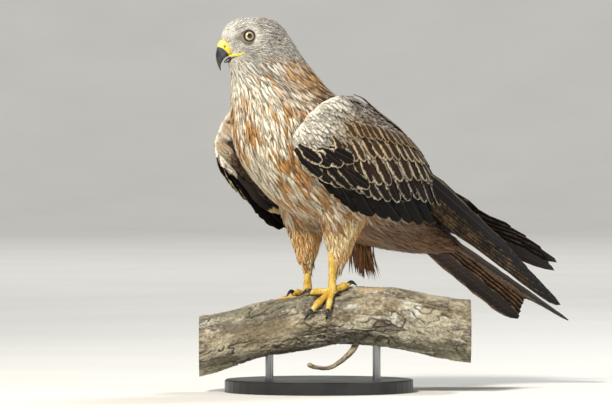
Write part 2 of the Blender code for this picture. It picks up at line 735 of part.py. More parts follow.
def right_wing(points):
    """A left wing's points made the right wing's."""
    points = np.asarray(points, float)
    offset = points - WING_ORIGIN
    along, out = offset @ WING_ALONG, offset @ WING_OUT
    droop = bell(along, *RIGHT_WING_DROOP) * np.clip((10 - out) / 70, 0, 1.2)
    sink = bell(along, *RIGHT_WING_SINK) * np.clip(out / 60, 0, 1)
    points = (points - (droop + sink)[..., None] * WING_OUT) * (-1.0, 1.0, 1.0)
    ahead = ((points - RIGHT_WRIST) @ WING_ALONG)[..., None]
    points = points + WING_ALONG * ahead * (RIGHT_WING_STRETCH - 1)
    points = turned(points, RIGHT_WING_PIVOT, (1.0, 0.0, 0.0), RIGHT_WING_PITCH)
    return turned(points, RIGHT_WING_PIVOT, UP, RIGHT_WING_YAW)


def wing_rings():
    """Rings of the left wing's core, the part that its large feathers grow from."""
    rings = []
    for along in np.linspace(WING_STATIONS[0, 0], WING_CORE_END, WING_CORE_RINGS):
        row = at_distance(WING_STATIONS, [along])[0]
        low, high, thick = math.radians(row[3]), math.radians(row[4]), row[5]
        angle = np.linspace(low, high, WING_ARC_POINTS)
        filled = np.sin(np.linspace(0, math.pi, WING_ARC_POINTS)) ** WING_EDGE_POWER
        depth = thick * (WING_EDGE_SHARE + (1 - WING_EDGE_SHARE) * filled)
        outer = wing_point(along, angle)
        inner = wing_point(along, angle, -depth)
        rings.append(np.vstack([outer, inner[::-1]]))
    return np.array(rings)


def wing_room():
    """Rings of the space beside the thigh that the left wing takes up."""
    rings = []
    for along in np.linspace(*WING_ROOM_ALONG, 12):
        angle = np.radians(np.linspace(*WING_ROOM_DEGREES, 8))
        outer = wing_point(along, angle, WING_ROOM_LIFTS[0])
        inner = wing_point(along, angle, WING_ROOM_LIFTS[1])
        rings.append(np.vstack([outer, inner[::-1]]))
    return np.array(rings)


def tier_vanes(tips, lengths, widths, swing, rise, count):
    """Sections of one tier's overlapping feathers, laid over the left wing's shell."""
    swing = math.radians(swing)
    places = through(np.array(tips, float), np.linspace(0, len(tips) - 1, count))
    vanes = []
    for number, (along, degrees) in enumerate(places):
        share = number / (count - 1)
        varied = 1 + VANE_LENGTH_CHANGE * math.sin(2.4 * number + rise)
        length = varied * (lengths[0] + (lengths[1] - lengths[0]) * share)
        half = (widths[0] + (widths[1] - widths[0]) * share) / 2
        tip = wing_point(along, math.radians(degrees))
        normal = wing_normal(tip[None])[0]
        ahead = WING_ALONG - normal * (WING_ALONG @ normal)
        ahead /= np.linalg.norm(ahead)
        heading = math.cos(swing) * ahead + math.sin(swing) * np.cross(ahead, normal)
        middle = tip - np.outer((1 - VANE_SHARES) * length, heading)
        lift = rise - VANE_ROOT_DROP * abs(rise) * (1 - VANE_SHARES)
        lift[0] = -VANE_SINK
        vanes.append(shell_sections(middle, lift, half * VANE_WIDTHS))
    return vanes


def shell_sections(middle, lift, half):
    """Sections of a feather that follows the shell, its lower edge raised by the tilt."""
    surface = onto_wing(middle, lift)
    normal = wing_normal(surface)
    ahead = np.gradient(surface, axis=0)
    side = np.cross(ahead, normal)
    side /= np.linalg.norm(side, axis=1)[:, None]
    left = onto_wing(surface - side * half[:, None], lift - VANE_TILT * half)
    right = onto_wing(surface + side * half[:, None], lift + VANE_TILT * half)
    return blade_points(left, right, normal, VANE_THICKNESS)


def primaries(side):
    """Sections of the folded primaries, each above and inside the one before."""
    root = wing_point(*PRIMARY_ROOT)
    end, across, out = PRIMARY_TIP[side]
    tip = WING_ORIGIN + end * WING_ALONG + out * WING_OUT + (across, 0, 0)
    halfway = (root + tip) / 2
    halfway = (halfway + onto_wing(halfway[None], -3.0)[0]) / 2
    vanes = []
    for number, stop in enumerate(PRIMARY_ENDS[side]):
        s = (VANE_SHARES * (stop - PRIMARY_ROOT[0]) / (end - PRIMARY_ROOT[0]))[:, None]
        middle = root * (2 * s**2 - 3 * s + 1) + halfway * (4 * s - 4 * s**2) + tip * (2 * s**2 - s)
        twist = np.clip((s - PRIMARY_TWIST[0]) / PRIMARY_TWIST[1], 0, 1)
        normal = (1 - twist) * wing_normal(middle) + twist * (PRIMARY_TIP_NORMAL @ WING_AXES)
        cross = np.cross(np.gradient(middle, axis=0), normal)
        cross /= np.linalg.norm(cross, axis=1)[:, None]
        middle = middle - number * PRIMARY_STEP[side] * cross + number * PRIMARY_LAYER * normal
        half = PRIMARY_WIDTH / 2 * VANE_WIDTHS[:, None]
        vanes.append(
            blade_points(middle - cross * half, middle + cross * half, normal, VANE_THICKNESS)
        )
    return vanes


def wing(side):
    """Folded wing: a core with its flight feathers, coverts and scapulars in tiers."""
    place = right_wing if side == "right" else np.asarray
    obj = loft(f"wing_{side}", place(wing_rings()), WING_BROWN)
    vanes = primaries(side)
    for tier in WING_TIERS.values():
        vanes += tier_vanes(*tier)
    combine(obj, [blade("vane", place(sections), WING_BROWN) for sections in vanes], "UNION")
    trunk = body_piece("trunk", 5.0, TAIL_CORE_END, 36, WING_BROWN, GAP)
    return combine(obj, [trunk], "DIFFERENCE")


def tail_vane(share):
    """Sections of one tail feather; the share runs from -1 at the right edge to 1."""
    length = TAIL_MIDDLE_LENGTH + TAIL_FORK * abs(share) ** TAIL_FORK_POWER
    reach = TAIL_FEATHER_START + (length - TAIL_FEATHER_START) * VANE_SHARES
    spread = TAIL_HALF_WIDTH * (reach / (TAIL_MIDDLE_LENGTH + TAIL_FORK)) ** TAIL_SPREAD_POWER
    grown = np.minimum(1.0, TAIL_ROOT_SHARE + (1 - TAIL_ROOT_SHARE) * VANE_SHARES / 0.5)
    half = TAIL_FEATHER_HALF_WIDTH * grown
    centre = share * (spread - half)
    half = half * np.where(VANE_SHARES > 0.4, VANE_WIDTHS, 1.0)
    layer = TAIL_LAYER * abs(share) * (TAIL_FEATHERS - 1) / 2
    edges = []
    for sign in (-1, 1):
        x = centre + sign * half
        drop = layer + TAIL_EDGE_DROP * (x / TAIL_HALF_WIDTH) ** 2
        edge = TAIL_ROOT + np.outer(reach, TAIL_ALONG) - np.outer(drop, TAIL_UP)
        edge[:, 0] = x
        edges.append(edge)
    return blade_points(*edges, TAIL_UP, VANE_THICKNESS)


def tail():
    """Core of rump and undertail coverts with the forked fan of tail feathers."""
    core = body_piece("tail", TORSO_END, TAIL_CORE_END, 8, TAIL_RUFOUS, gap=GAP)
    shares = np.linspace(-1, 1, TAIL_FEATHERS)
    vanes = [blade("vane", tail_vane(share), TAIL_RUFOUS) for share in shares]
    return combine(core, vanes, "UNION")


def bill_upper(name, grow=0.0):
    """Hooked upper bill with cere, nostrils and the gape's yellow lips."""
    rings = head_turned(edge_rings(BILL_UPPER_STATIONS, 10, sides=12, grow=grow))
    obj = loft(name, rings, HORN_BLACK, roughness=0.3)
    lips = []
    nostrils = []
    for sign in (-1, 1):
        path = GAPE_PATH[:, :3] * (sign, 1, 1)
        rings = tube_rings(path, GAPE_PATH[:, 3] + grow, 6)
        lips.append(loft("lip", head_turned(rings), SKIN_YELLOW))
        if not grow:
            radii = (NOSTRIL_RADIUS, NOSTRIL_RADIUS)
            rings = tube_rings(NOSTRIL_PATH * (sign, 1, 1), radii, 8)
            nostrils.append(loft("nostril", head_turned(rings), HORN_BLACK))
    combine(obj, lips, "UNION")
    return combine(obj, nostrils, "DIFFERENCE") if nostrils else obj


def bill_lower(name, grow=0.0):
    """Lower bill."""
    rings = head_turned(edge_rings(BILL_LOWER_STATIONS, 7, sides=12, grow=grow))
    return loft(name, rings, HORN_BLACK, roughness=0.3)


def head():
    """Skull with lids, cut for the bill and the eyes."""
    obj = body_piece("head", 0.0, HEAD_END, 13, HEAD_GREY)
    upper = bill_upper("bill_upper")
    lower = combine(bill_lower("bill_lower"), [bill_upper("cut", GAP)], "DIFFERENCE")
    lids = []
    cutters = [bill_upper("cut", GAP), bill_lower("cut", GAP)]
    for side, sign in (("left", 1), ("right", -1)):
        centre = head_turned(EYE_CENTRE * (sign, 1, 1))
        axis = head_turned((EYE_CENTRE + EYE_AXIS) * (sign, 1, 1)) - centre
        axis /= np.linalg.norm(axis)
        ball(f"eye_{side}", centre, EYE_RADIUS, EYE_CREAM, axis=axis, roughness=0.1)
        cutters.append(ball("cut", centre, EYE_RADIUS + GAP, HEAD_GREY, axis=axis))
        rise = math.sqrt(EYE_RADIUS**2 - LID_RADIUS**2)
        turn = np.linspace(0, 2 * math.pi, 12, endpoint=False)
        first = np.cross(axis, UP)
        first /= np.linalg.norm(first)
        second = np.cross(first, axis)
        middle = centre + axis * rise
        rings = []
        for t in turn:
            out = math.cos(t) * first + math.sin(t) * second
            small = np.linspace(0, 2 * math.pi, 4, endpoint=False)
            rings.append(
                middle + out * LID_RADIUS
                + LID_TUBE * (np.outer(np.cos(small), out) + np.outer(np.sin(small), axis))
            )
        lids.append(ring_loop("lid", np.array(rings), HEAD_GREY))
    combine(obj, lids, "UNION")
    combine(obj, cutters, "DIFFERENCE")
    return obj, upper, lower


def ring_loop(name, rings, colour):
    """A closed ring of sections, such as a lid's rim."""
    count, sides = rings.shape[:2]
    faces = []
    for i in range(count):
        for j in range(sides):
            a, b = i * sides + j, i * sides + (j + 1) % sides
            c, d = (a + sides) % (count * sides), (b + sides) % (count * sides)
            faces.append((a, b, d))
            faces.append((a, d, c))
    points = rings.reshape(-1, 3)
    return new_object(name, points, facing_out(points, faces), colour)


def main():
    for obj in list(bpy.data.objects):
        bpy.data.objects.remove(obj, do_unlink=True)
    perch()
    head()
    body_piece("neck", HEAD_END, NECK_END, 8, NECK_BUFF, gap=GAP)
    body_piece("torso", NECK_END, TORSO_END, 20, BODY_RUFOUS, gap=GAP)
    for side in ("left", "right"):
        wing(side)
        thigh(side)
        foot(side)
    tail()
    for obj in bpy.context.collection.objects:
        obj.data.shade_smooth()
        obj.data.set_sharp_from_angle(angle=math.radians(40.0))


if __name__ == "__main__":
    main()
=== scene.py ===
"""Red kite on a cut branch and a plain display stand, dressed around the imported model.

Sizes are millimetres until a mesh is made. The bird faces -Y and its own left is +X.
"""

import logging
import math
from dataclasses import dataclass, field
from enum import StrEnum
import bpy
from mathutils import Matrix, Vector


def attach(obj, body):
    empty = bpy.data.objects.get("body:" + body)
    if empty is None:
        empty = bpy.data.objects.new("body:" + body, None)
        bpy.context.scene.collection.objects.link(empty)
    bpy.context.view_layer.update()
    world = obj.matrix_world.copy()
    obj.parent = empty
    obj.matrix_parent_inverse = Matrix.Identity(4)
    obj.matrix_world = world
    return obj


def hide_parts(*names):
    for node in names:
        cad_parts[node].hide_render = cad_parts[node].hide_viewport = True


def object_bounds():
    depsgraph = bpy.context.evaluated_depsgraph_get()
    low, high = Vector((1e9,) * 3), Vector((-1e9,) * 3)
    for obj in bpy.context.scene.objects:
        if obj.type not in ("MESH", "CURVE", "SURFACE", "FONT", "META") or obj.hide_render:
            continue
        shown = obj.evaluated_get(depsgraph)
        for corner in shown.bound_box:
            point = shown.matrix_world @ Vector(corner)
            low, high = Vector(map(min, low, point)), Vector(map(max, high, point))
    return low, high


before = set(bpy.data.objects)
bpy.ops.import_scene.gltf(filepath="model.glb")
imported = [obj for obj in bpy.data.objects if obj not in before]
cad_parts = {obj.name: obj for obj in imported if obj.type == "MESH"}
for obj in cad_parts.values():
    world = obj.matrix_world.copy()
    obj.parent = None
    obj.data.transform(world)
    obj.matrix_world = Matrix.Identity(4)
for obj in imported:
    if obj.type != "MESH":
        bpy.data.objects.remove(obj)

from types import SimpleNamespace
from typing import Any, Callable, NamedTuple, Sequence

import bpy
import numpy as np
from mathutils import Vector
from mathutils.bvhtree import BVHTree
from mathutils.kdtree import KDTree

CAD_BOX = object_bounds()
MM = 0.001
UP = np.array([0.0, 0.0, 1.0])
PATCH = 0.003
Array = np.ndarray
log = logging.getLogger("kite")


# Colour and number helpers


def srgb(code: str) -> Array:
    """Turns an sRGB hex value into linear red, green and blue.

    Args:
        code: the colour as six hex digits, with or without a leading hash sign.

    Returns:
        Three linear values from 0 to 1.
    """
    digits = code.lstrip("#")
    value = np.array([int(digits[i : i + 2], 16) / 255 for i in (0, 2, 4)])
    return np.where(value <= 0.04045, value / 12.92, ((value + 0.055) / 1.055) ** 2.4)


def mix(a: Array, b: Array, share: Array) -> Array:
    """Blends a towards b by a share for each row: a + (b - a) * share."""
    share = np.asarray(share, float)[..., None]
    return np.asarray(a) * (1 - share) + np.asarray(b) * share


def ramp(value: Array, low: float, high: float) -> Array:
    """Rises smoothly from 0 at low to 1 at high: t * t * (3 - 2 t)."""
    t = np.clip((np.asarray(value, float) - low) / (high - low), 0, 1)
    return t * t * (3 - 2 * t)


def bump(value: Array, centre: float, width: float) -> Array:
    """A bell about centre: e to the minus ((value - centre) / width) squared."""
    return np.exp(-(((np.asarray(value, float) - centre) / width) ** 2))


def signed_power(value: Array, power: float) -> Array:
    """The value's size raised to the power, with its sign kept."""
    return np.sign(value) * np.abs(value) ** power


def unit(vectors: Array) -> Array:
    """The vectors divided by their own lengths."""
    return vectors / np.maximum(np.linalg.norm(vectors, axis=-1, keepdims=True), 1e-9)


def through(table: Array, places: Array) -> Array:
    """Reads a table between its rows along a smooth cubic, and on in a straight line past its ends.

    Args:
        table: rows of values.
        places: row numbers, which may lie between rows or past the ends.

    Returns:
        One row of values for each place.
    """
    slopes = np.gradient(table, axis=0)
    places = np.asarray(places, float)
    inside = np.clip(places, 0, len(table) - 1)
    low = np.minimum(inside.astype(int), len(table) - 2)
    t = (inside - low)[:, None]
    a, b, ta, tb = table[low], table[low + 1], slopes[low], slopes[low + 1]
    value = (
        (2 * t**3 - 3 * t**2 + 1) * a + (t**3 - 2 * t**2 + t) * ta
        + (3 * t**2 - 2 * t**3) * b + (t**3 - t**2) * tb
    )
    end_slope = np.where((places < 0)[:, None], slopes[0], slopes[-1])
    return value + (places - inside)[:, None] * end_slope


def at_distance(table: Array, distances: Array) -> Array:
    """The table's other columns at these distances, the first column being the distance."""
    rows = np.interp(distances, table[:, 0], np.arange(len(table)))
    return through(table[:, 1:], rows)


def turned(points: Array, pivot: Array, axis: Sequence[float], angle: Array) -> Array:
    """Turns points about an axis through the pivot, by one angle or one for each point."""
    axis = unit(np.asarray(axis, float))
    offset = np.asarray(points, float) - pivot
    angle = np.asarray(angle, float)[..., None]
    cross = np.cross(np.broadcast_to(axis, offset.shape), offset)
    along = (offset @ axis)[..., None] * axis
    return pivot + offset * np.cos(angle) + cross * np.sin(angle) + along * (1 - np.cos(angle))


def noise(points: Array, size: float, seed: int) -> Array:
    """A smooth random field from -1 to 1.

    Random values sit at the corners of cubes of the given size, and are blended inside each
    cube by smooth steps in the three directions.
    """
    table = np.random.default_rng(seed).uniform(-1, 1, 4096)
    place = np.asarray(points, float) / size
    cell = np.floor(place).astype(np.int64)
    part = place - cell
    part = part * part * (3 - 2 * part)
    total = np.zeros(place.shape[:-1])
    for corner in range(8):
        step = np.array([corner & 1, corner >> 1 & 1, corner >> 2 & 1])
        spot = cell + step
        key = spot[..., 0] * 73856093 ^ spot[..., 1] * 19349663 ^ spot[..., 2] * 83492791
        total += table[key & 4095] * np.prod(np.where(step, part, 1 - part), axis=-1)
    return total


def fractal(points: Array, size: float, seed: int, octaves: int = 3) -> Array:
    """The sum of smooth fields, each half the size and about half the height of the last."""
    return sum(0.5**i * noise(points, size / 2**i, seed + i) for i in range(octaves))


def circle(count: int) -> Array:
    """Equal turns right round, in radians."""
    return np.linspace(0, 2 * math.pi, count, endpoint=False)


def squared(headings: Array, normals: Array) -> Array:
    """The headings with what lies along the normals taken out, at unit length."""
    return unit(headings - normals * np.einsum("ij,ij->i", headings, normals)[:, None])


def rounds(side: Array, up: Array, angle: Array, wide: float = 1.0) -> Array:
    """Circles of radius 1 about a path, as (place, angle, 3), widened along the side."""
    return wide * np.cos(angle)[None, :, None] * side[:, None] + np.sin(angle)[None, :, None] * up[:, None]


def plain(code: str, shape: tuple[int, ...]) -> Array:
    """One colour at every point of a grid of this shape."""
    return srgb(code) * np.ones((*shape, 3))


def table(*rows: object) -> Any:
    """A dataclass field that holds these rows as an array."""
    return field(default_factory=lambda: np.array(rows, float))


def per_side(left: object, right: object) -> Any:
    """A dataclass field with one value for each of the bird's sides."""
    return field(default_factory=lambda: {"left": left, "right": right})


# Mesh and material helpers


def plug(tree: bpy.types.NodeTree, value: object, socket: bpy.types.NodeSocket) -> None:
    """Links another node's output to this input, or sets the input to a plain value."""
    if isinstance(value, bpy.types.NodeSocket):
        tree.links.new(value, socket)
    else:
        socket.default_value = value


def add(
    tree: bpy.types.NodeTree, kind: str, inputs: dict | tuple = (), out: int | str = 0, **settings: object
) -> bpy.types.NodeSocket:
    """Adds one node with its settings and links.

    Args:
        tree: the material's node tree.
        kind: the node's type name, less the word ShaderNode.
        inputs: sockets to link or values to set, in order, or by name or number.
        out: the output that is wanted.
        settings: attributes of the node; stops are a colour ramp's (place, hex colour) pairs.

    Returns:
        The output that is wanted.
    """
    made = tree.nodes.new(f"ShaderNode{kind}")
    for name, value in settings.items():
        if name != "stops":
            setattr(made, name, value)
            continue
        while len(made.color_ramp.elements) < len(value):
            made.color_ramp.elements.new(0.5)
        for element, (place, code) in zip(made.color_ramp.elements, value):
            element.position = place
            element.color = (*srgb(code), 1.0)
    for name, value in inputs.items() if isinstance(inputs, dict) else enumerate(inputs):
        plug(tree, value, made.inputs[name])
    return made.outputs[out]


def new_object(
    name: str,
    points: Array,
    corners: Array,
    starts: Array,
    material: bpy.types.Material,
    maps: dict[str, Array] | None = None,
    colours: dict[str, Array] | None = None,
) -> bpy.types.Object:
    """Makes a smooth mesh object from whole arrays.

    Args:
        name: the object's name.
        points: its points in millimetres.
        corners: the point of every face corner, face after face.
        starts: where each face's corners begin.
        material: its material.
        maps: UV maps by name, one pair of values a point.
        colours: colour attributes by name, three linear values a point.

    Returns:
        The linked object.
    """
    mesh = bpy.data.meshes.new(name)
    mesh.vertices.add(len(points))
    mesh.vertices.foreach_set("co", (points * MM).astype(np.float32).ravel())
    mesh.loops.add(len(corners))
    mesh.loops.foreach_set("vertex_index", corners.astype(np.int32))
    mesh.polygons.add(len(starts))
    mesh.polygons.foreach_set("loop_start", starts.astype(np.int32))
    mesh.update(calc_edges=True)
    mesh.polygons.foreach_set("use_smooth", np.ones(len(starts), bool))
    for key, values in (maps or {}).items():
        layer = mesh.uv_layers.new(name=key)
        layer.data.foreach_set("uv", values[corners].astype(np.float32).ravel())
    for key, values in (colours or {}).items():
        layer = mesh.color_attributes.new(name=key, type="FLOAT_COLOR", domain="POINT")
        filled = np.concatenate([values, np.ones((len(values), 1))], axis=1)
        layer.data.foreach_set("color", filled.astype(np.float32).ravel())
    mesh.materials.append(material)
    made = bpy.data.objects.new(name, mesh)
    bpy.context.scene.collection.objects.link(made)
    return made


def tube_faces(rings: int, sides: int, capped: bool = True) -> tuple[Array, Array]:
    """Faces of a closed tube through rings of points, with one flat face at each end.

    Args:
        rings: number of rings.
        sides: points in each ring.
        capped: whether the ends are closed.

    Returns:
        The corners of all faces and where each face's corners begin.
    """
    i, j = np.meshgrid(np.arange(rings - 1), np.arange(sides), indexing="ij")
    a, b = i * sides + j, i * sides + (j + 1) % sides
    quads = np.stack([a, b, b + sides, a + sides], axis=-1).reshape(-1)
    starts = np.arange(0, len(quads), 4)
    if capped:
        first = np.arange(sides)[::-1]
        last = (rings - 1) * sides + np.arange(sides)
        starts = np.concatenate([starts, [len(quads), len(quads) + sides]])
        quads = np.concatenate([quads, first, last])
    return quads, starts


def signed_volume(points: Array, corners: Array, starts: Array) -> float:
    """Six times the volume inside the faces, by fans from each face's first corner."""
    ends = np.append(starts[1:], len(corners))
    total = 0.0
    for size in np.unique(ends - starts):
        firsts = starts[(ends - starts) == size]
        faces = corners[firsts[:, None] + np.arange(size)]
        a = points[faces[:, 0]]
        for k in range(1, size - 1):
            total += np.einsum("ij,ij->", a, np.cross(points[faces[:, k]], points[faces[:, k + 1]]))
    return total


def turned_faces(corners: Array, starts: Array) -> Array:
    """The faces' corners, each face listed the other way round."""
    ends = np.append(starts[1:], len(corners))
    sizes = np.repeat(ends - starts, ends - starts)
    firsts = np.repeat(starts, ends - starts)
    return corners[firsts + sizes - 1 - (np.arange(len(corners)) - firsts)]


def lofted(
    name: str,
    rings: Array,
    material: bpy.types.Material,
    maps: dict[str, Array] | None = None,
    colours: dict[str, Array] | None = None,
) -> bpy.types.Object:
    """Makes a closed tube through rings (count, sides, 3), facing out."""
    count, sides = rings.shape[:2]
    points = rings.reshape(-1, 3)
    corners, starts = tube_faces(count, sides)
    if signed_volume(points, corners, starts) < 0:
        corners = turned_faces(corners, starts)
    return new_object(name, points, corners, starts, material, maps, colours)


def many_tubes(
    name: str,
    tubes: Array,
    material: bpy.types.Material,
    maps: dict[str, Array],
    colours: dict[str, Array],
) -> bpy.types.Object:
    """Joins many like tubes into one mesh.

    Args:
        name: the object's name.
        tubes: points as (tube, ring, side, 3).
        material: its material.
        maps: UV maps as (tube, ring, side, 2).
        colours: colours as (tube, ring, side, 3).

    Returns:
        The linked object, each tube facing out.
    """
    count, rings, sides = tubes.shape[:3]
    corners, starts = tube_faces(rings, sides)
    turned_over = turned_faces(corners, starts)
    step = rings * sides
    edge_a = tubes[:, 1, 1] - tubes[:, 1, 0]
    middle = tubes.mean(axis=2)
    ahead = middle[:, -1] - middle[:, 0]
    outward = tubes[:, 1, 0] - middle[:, 1]
    inside = np.einsum("ij,ij->i", np.cross(edge_a, ahead), outward) < 0
    every = np.where(inside[:, None], turned_over, corners) + np.arange(count)[:, None] * step
    every_start = starts + np.arange(count)[:, None] * len(corners)
    flat_maps = {key: value.reshape(-1, 2) for key, value in maps.items()}
    flat_colours = {key: value.reshape(-1, 3) for key, value in colours.items()}
    return new_object(
        name, tubes.reshape(-1, 3), every.ravel(), every_start.ravel(), material, flat_maps, flat_colours
    )


def keep(piece: bpy.types.Object, slot: str, *nodes: str) -> bpy.types.Object:
    """Lets a piece ride on the still body and has it stand for its nodes, which it hides."""
    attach(piece, "root")
    if nodes:
        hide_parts(*nodes)
    log.info("%s: %d points, %d faces", piece.name, len(piece.data.vertices), len(piece.data.polygons))
    return piece


def tree_of(piece: bpy.types.Object, wanted: Callable[[Vector], bool] = lambda centre: True) -> BVHTree:
    """A search tree over the piece's faces whose centres are wanted, in metres."""
    mesh = piece.data
    faces = [tuple(p.vertices) for p in mesh.polygons if wanted(p.center)]
    return BVHTree.FromPolygons([v.co for v in mesh.vertices], faces)


def frames_along(path: Array, start: Array) -> tuple[Array, Array, Array]:
    """Directions ahead, aside and up at each point of a path.

    The side is carried along the path with as little twist as can be.
    """
    ahead = unit(np.gradient(path, axis=0))
    side = np.cross(ahead[0], start)
    sides = []
    for direction in ahead:
        side = unit(side - direction * (side @ direction))
        sides.append(side)
    sides = np.array(sides)
    return ahead, sides, np.cross(sides, ahead)


# Shapes that the solids have too


@dataclass(frozen=True)
class BodyShape:
    """Head, neck, trunk and root of the tail as one closed form about the middle plane.

    Each station gives a front edge (y, z), a back edge (y, z), a half width and how far the
    front narrows. A section is a rounded ellipse between its two edges.
    """

    stations: Array = table(
        (-111.0, 468.4, -99.0, 468.6, 5.0, 0.0),
        (-123.0, 465.6, -86.0, 466.6, 14.0, 0.15),
        (-138.0, 458.0, -69.0, 460.0, 22.5, 0.30),
        (-146.5, 443.0, -57.0, 447.0, 26.5, 0.42),
        (-132.0, 428.0, -46.0, 431.0, 28.5, 0.30),
        (-137.0, 410.0, -33.0, 414.0, 31.0, 0.15),
        (-132.0, 396.0, -14.0, 393.0, 37.0, 0.0),
        (-131.0, 376.0, 8.0, 374.0, 46.0, 0.0),
        (-129.0, 350.0, 32.0, 360.0, 58.0, 0.0),
        (-124.0, 320.0, 62.0, 340.0, 67.0, 0.0),
        (-110.0, 289.0, 90.0, 316.0, 71.0, 0.0),
        (-83.0, 259.0, 115.0, 290.0, 71.0, 0.0),
        (-45.0, 230.0, 135.0, 266.0, 66.0, 0.0),
        (10.0, 203.0, 146.0, 252.0, 59.0, 0.0),
        (64.0, 186.0, 156.0, 240.0, 50.0, 0.0),
        (114.0, 177.0, 167.0, 228.0, 41.0, 0.0),
        (164.0, 171.0, 190.0, 210.0, 33.0, 0.0),
        (212.0, 170.0, 222.0, 187.0, 26.0, 0.0),
    )
    squareness: float = 2.2
    head_yaw: float = math.radians(-15.0)
    yaw_full: float = 4.2
    yaw_none: float = 7.0
    pivot: Array = table(0.0, -75.0, 0.0)

    def point(self, place: Array, angle: Array, lift: Array = 0.0) -> Array:
        """Points on the form, at a row of the table and an angle from the bird's left to its back."""
        place, angle, lift = np.broadcast_arrays(*(np.asarray(v, float) for v in (place, angle, lift)))
        row = through(self.stations, place.ravel()).reshape(place.shape + (6,))
        across = signed_power(np.cos(angle), 2 / self.squareness)
        along = signed_power(np.sin(angle), 2 / self.squareness)
        front, back = row[..., 0:2], row[..., 2:4]
        reach = (back - front) / 2
        half = np.linalg.norm(reach, axis=-1)
        narrow = 1 - row[..., 5] * np.clip((-along - 0.2) / 0.8, 0, 1) ** 1.5
        flat = (front + back) / 2 + reach * (along * (half + lift) / half)[..., None]
        points = np.concatenate([(across * (row[..., 4] + lift) * narrow)[..., None], flat], axis=-1)
        turn = self.head_yaw * np.clip((self.yaw_none - place) / (self.yaw_none - self.yaw_full), 0, 1)
        return turned(points, self.pivot, UP, turn)

    def head_turned(self, points: Array) -> Array:
        """Points of the head, turned to the bird's right about the neck."""
        return turned(points, self.pivot, UP, self.head_yaw)


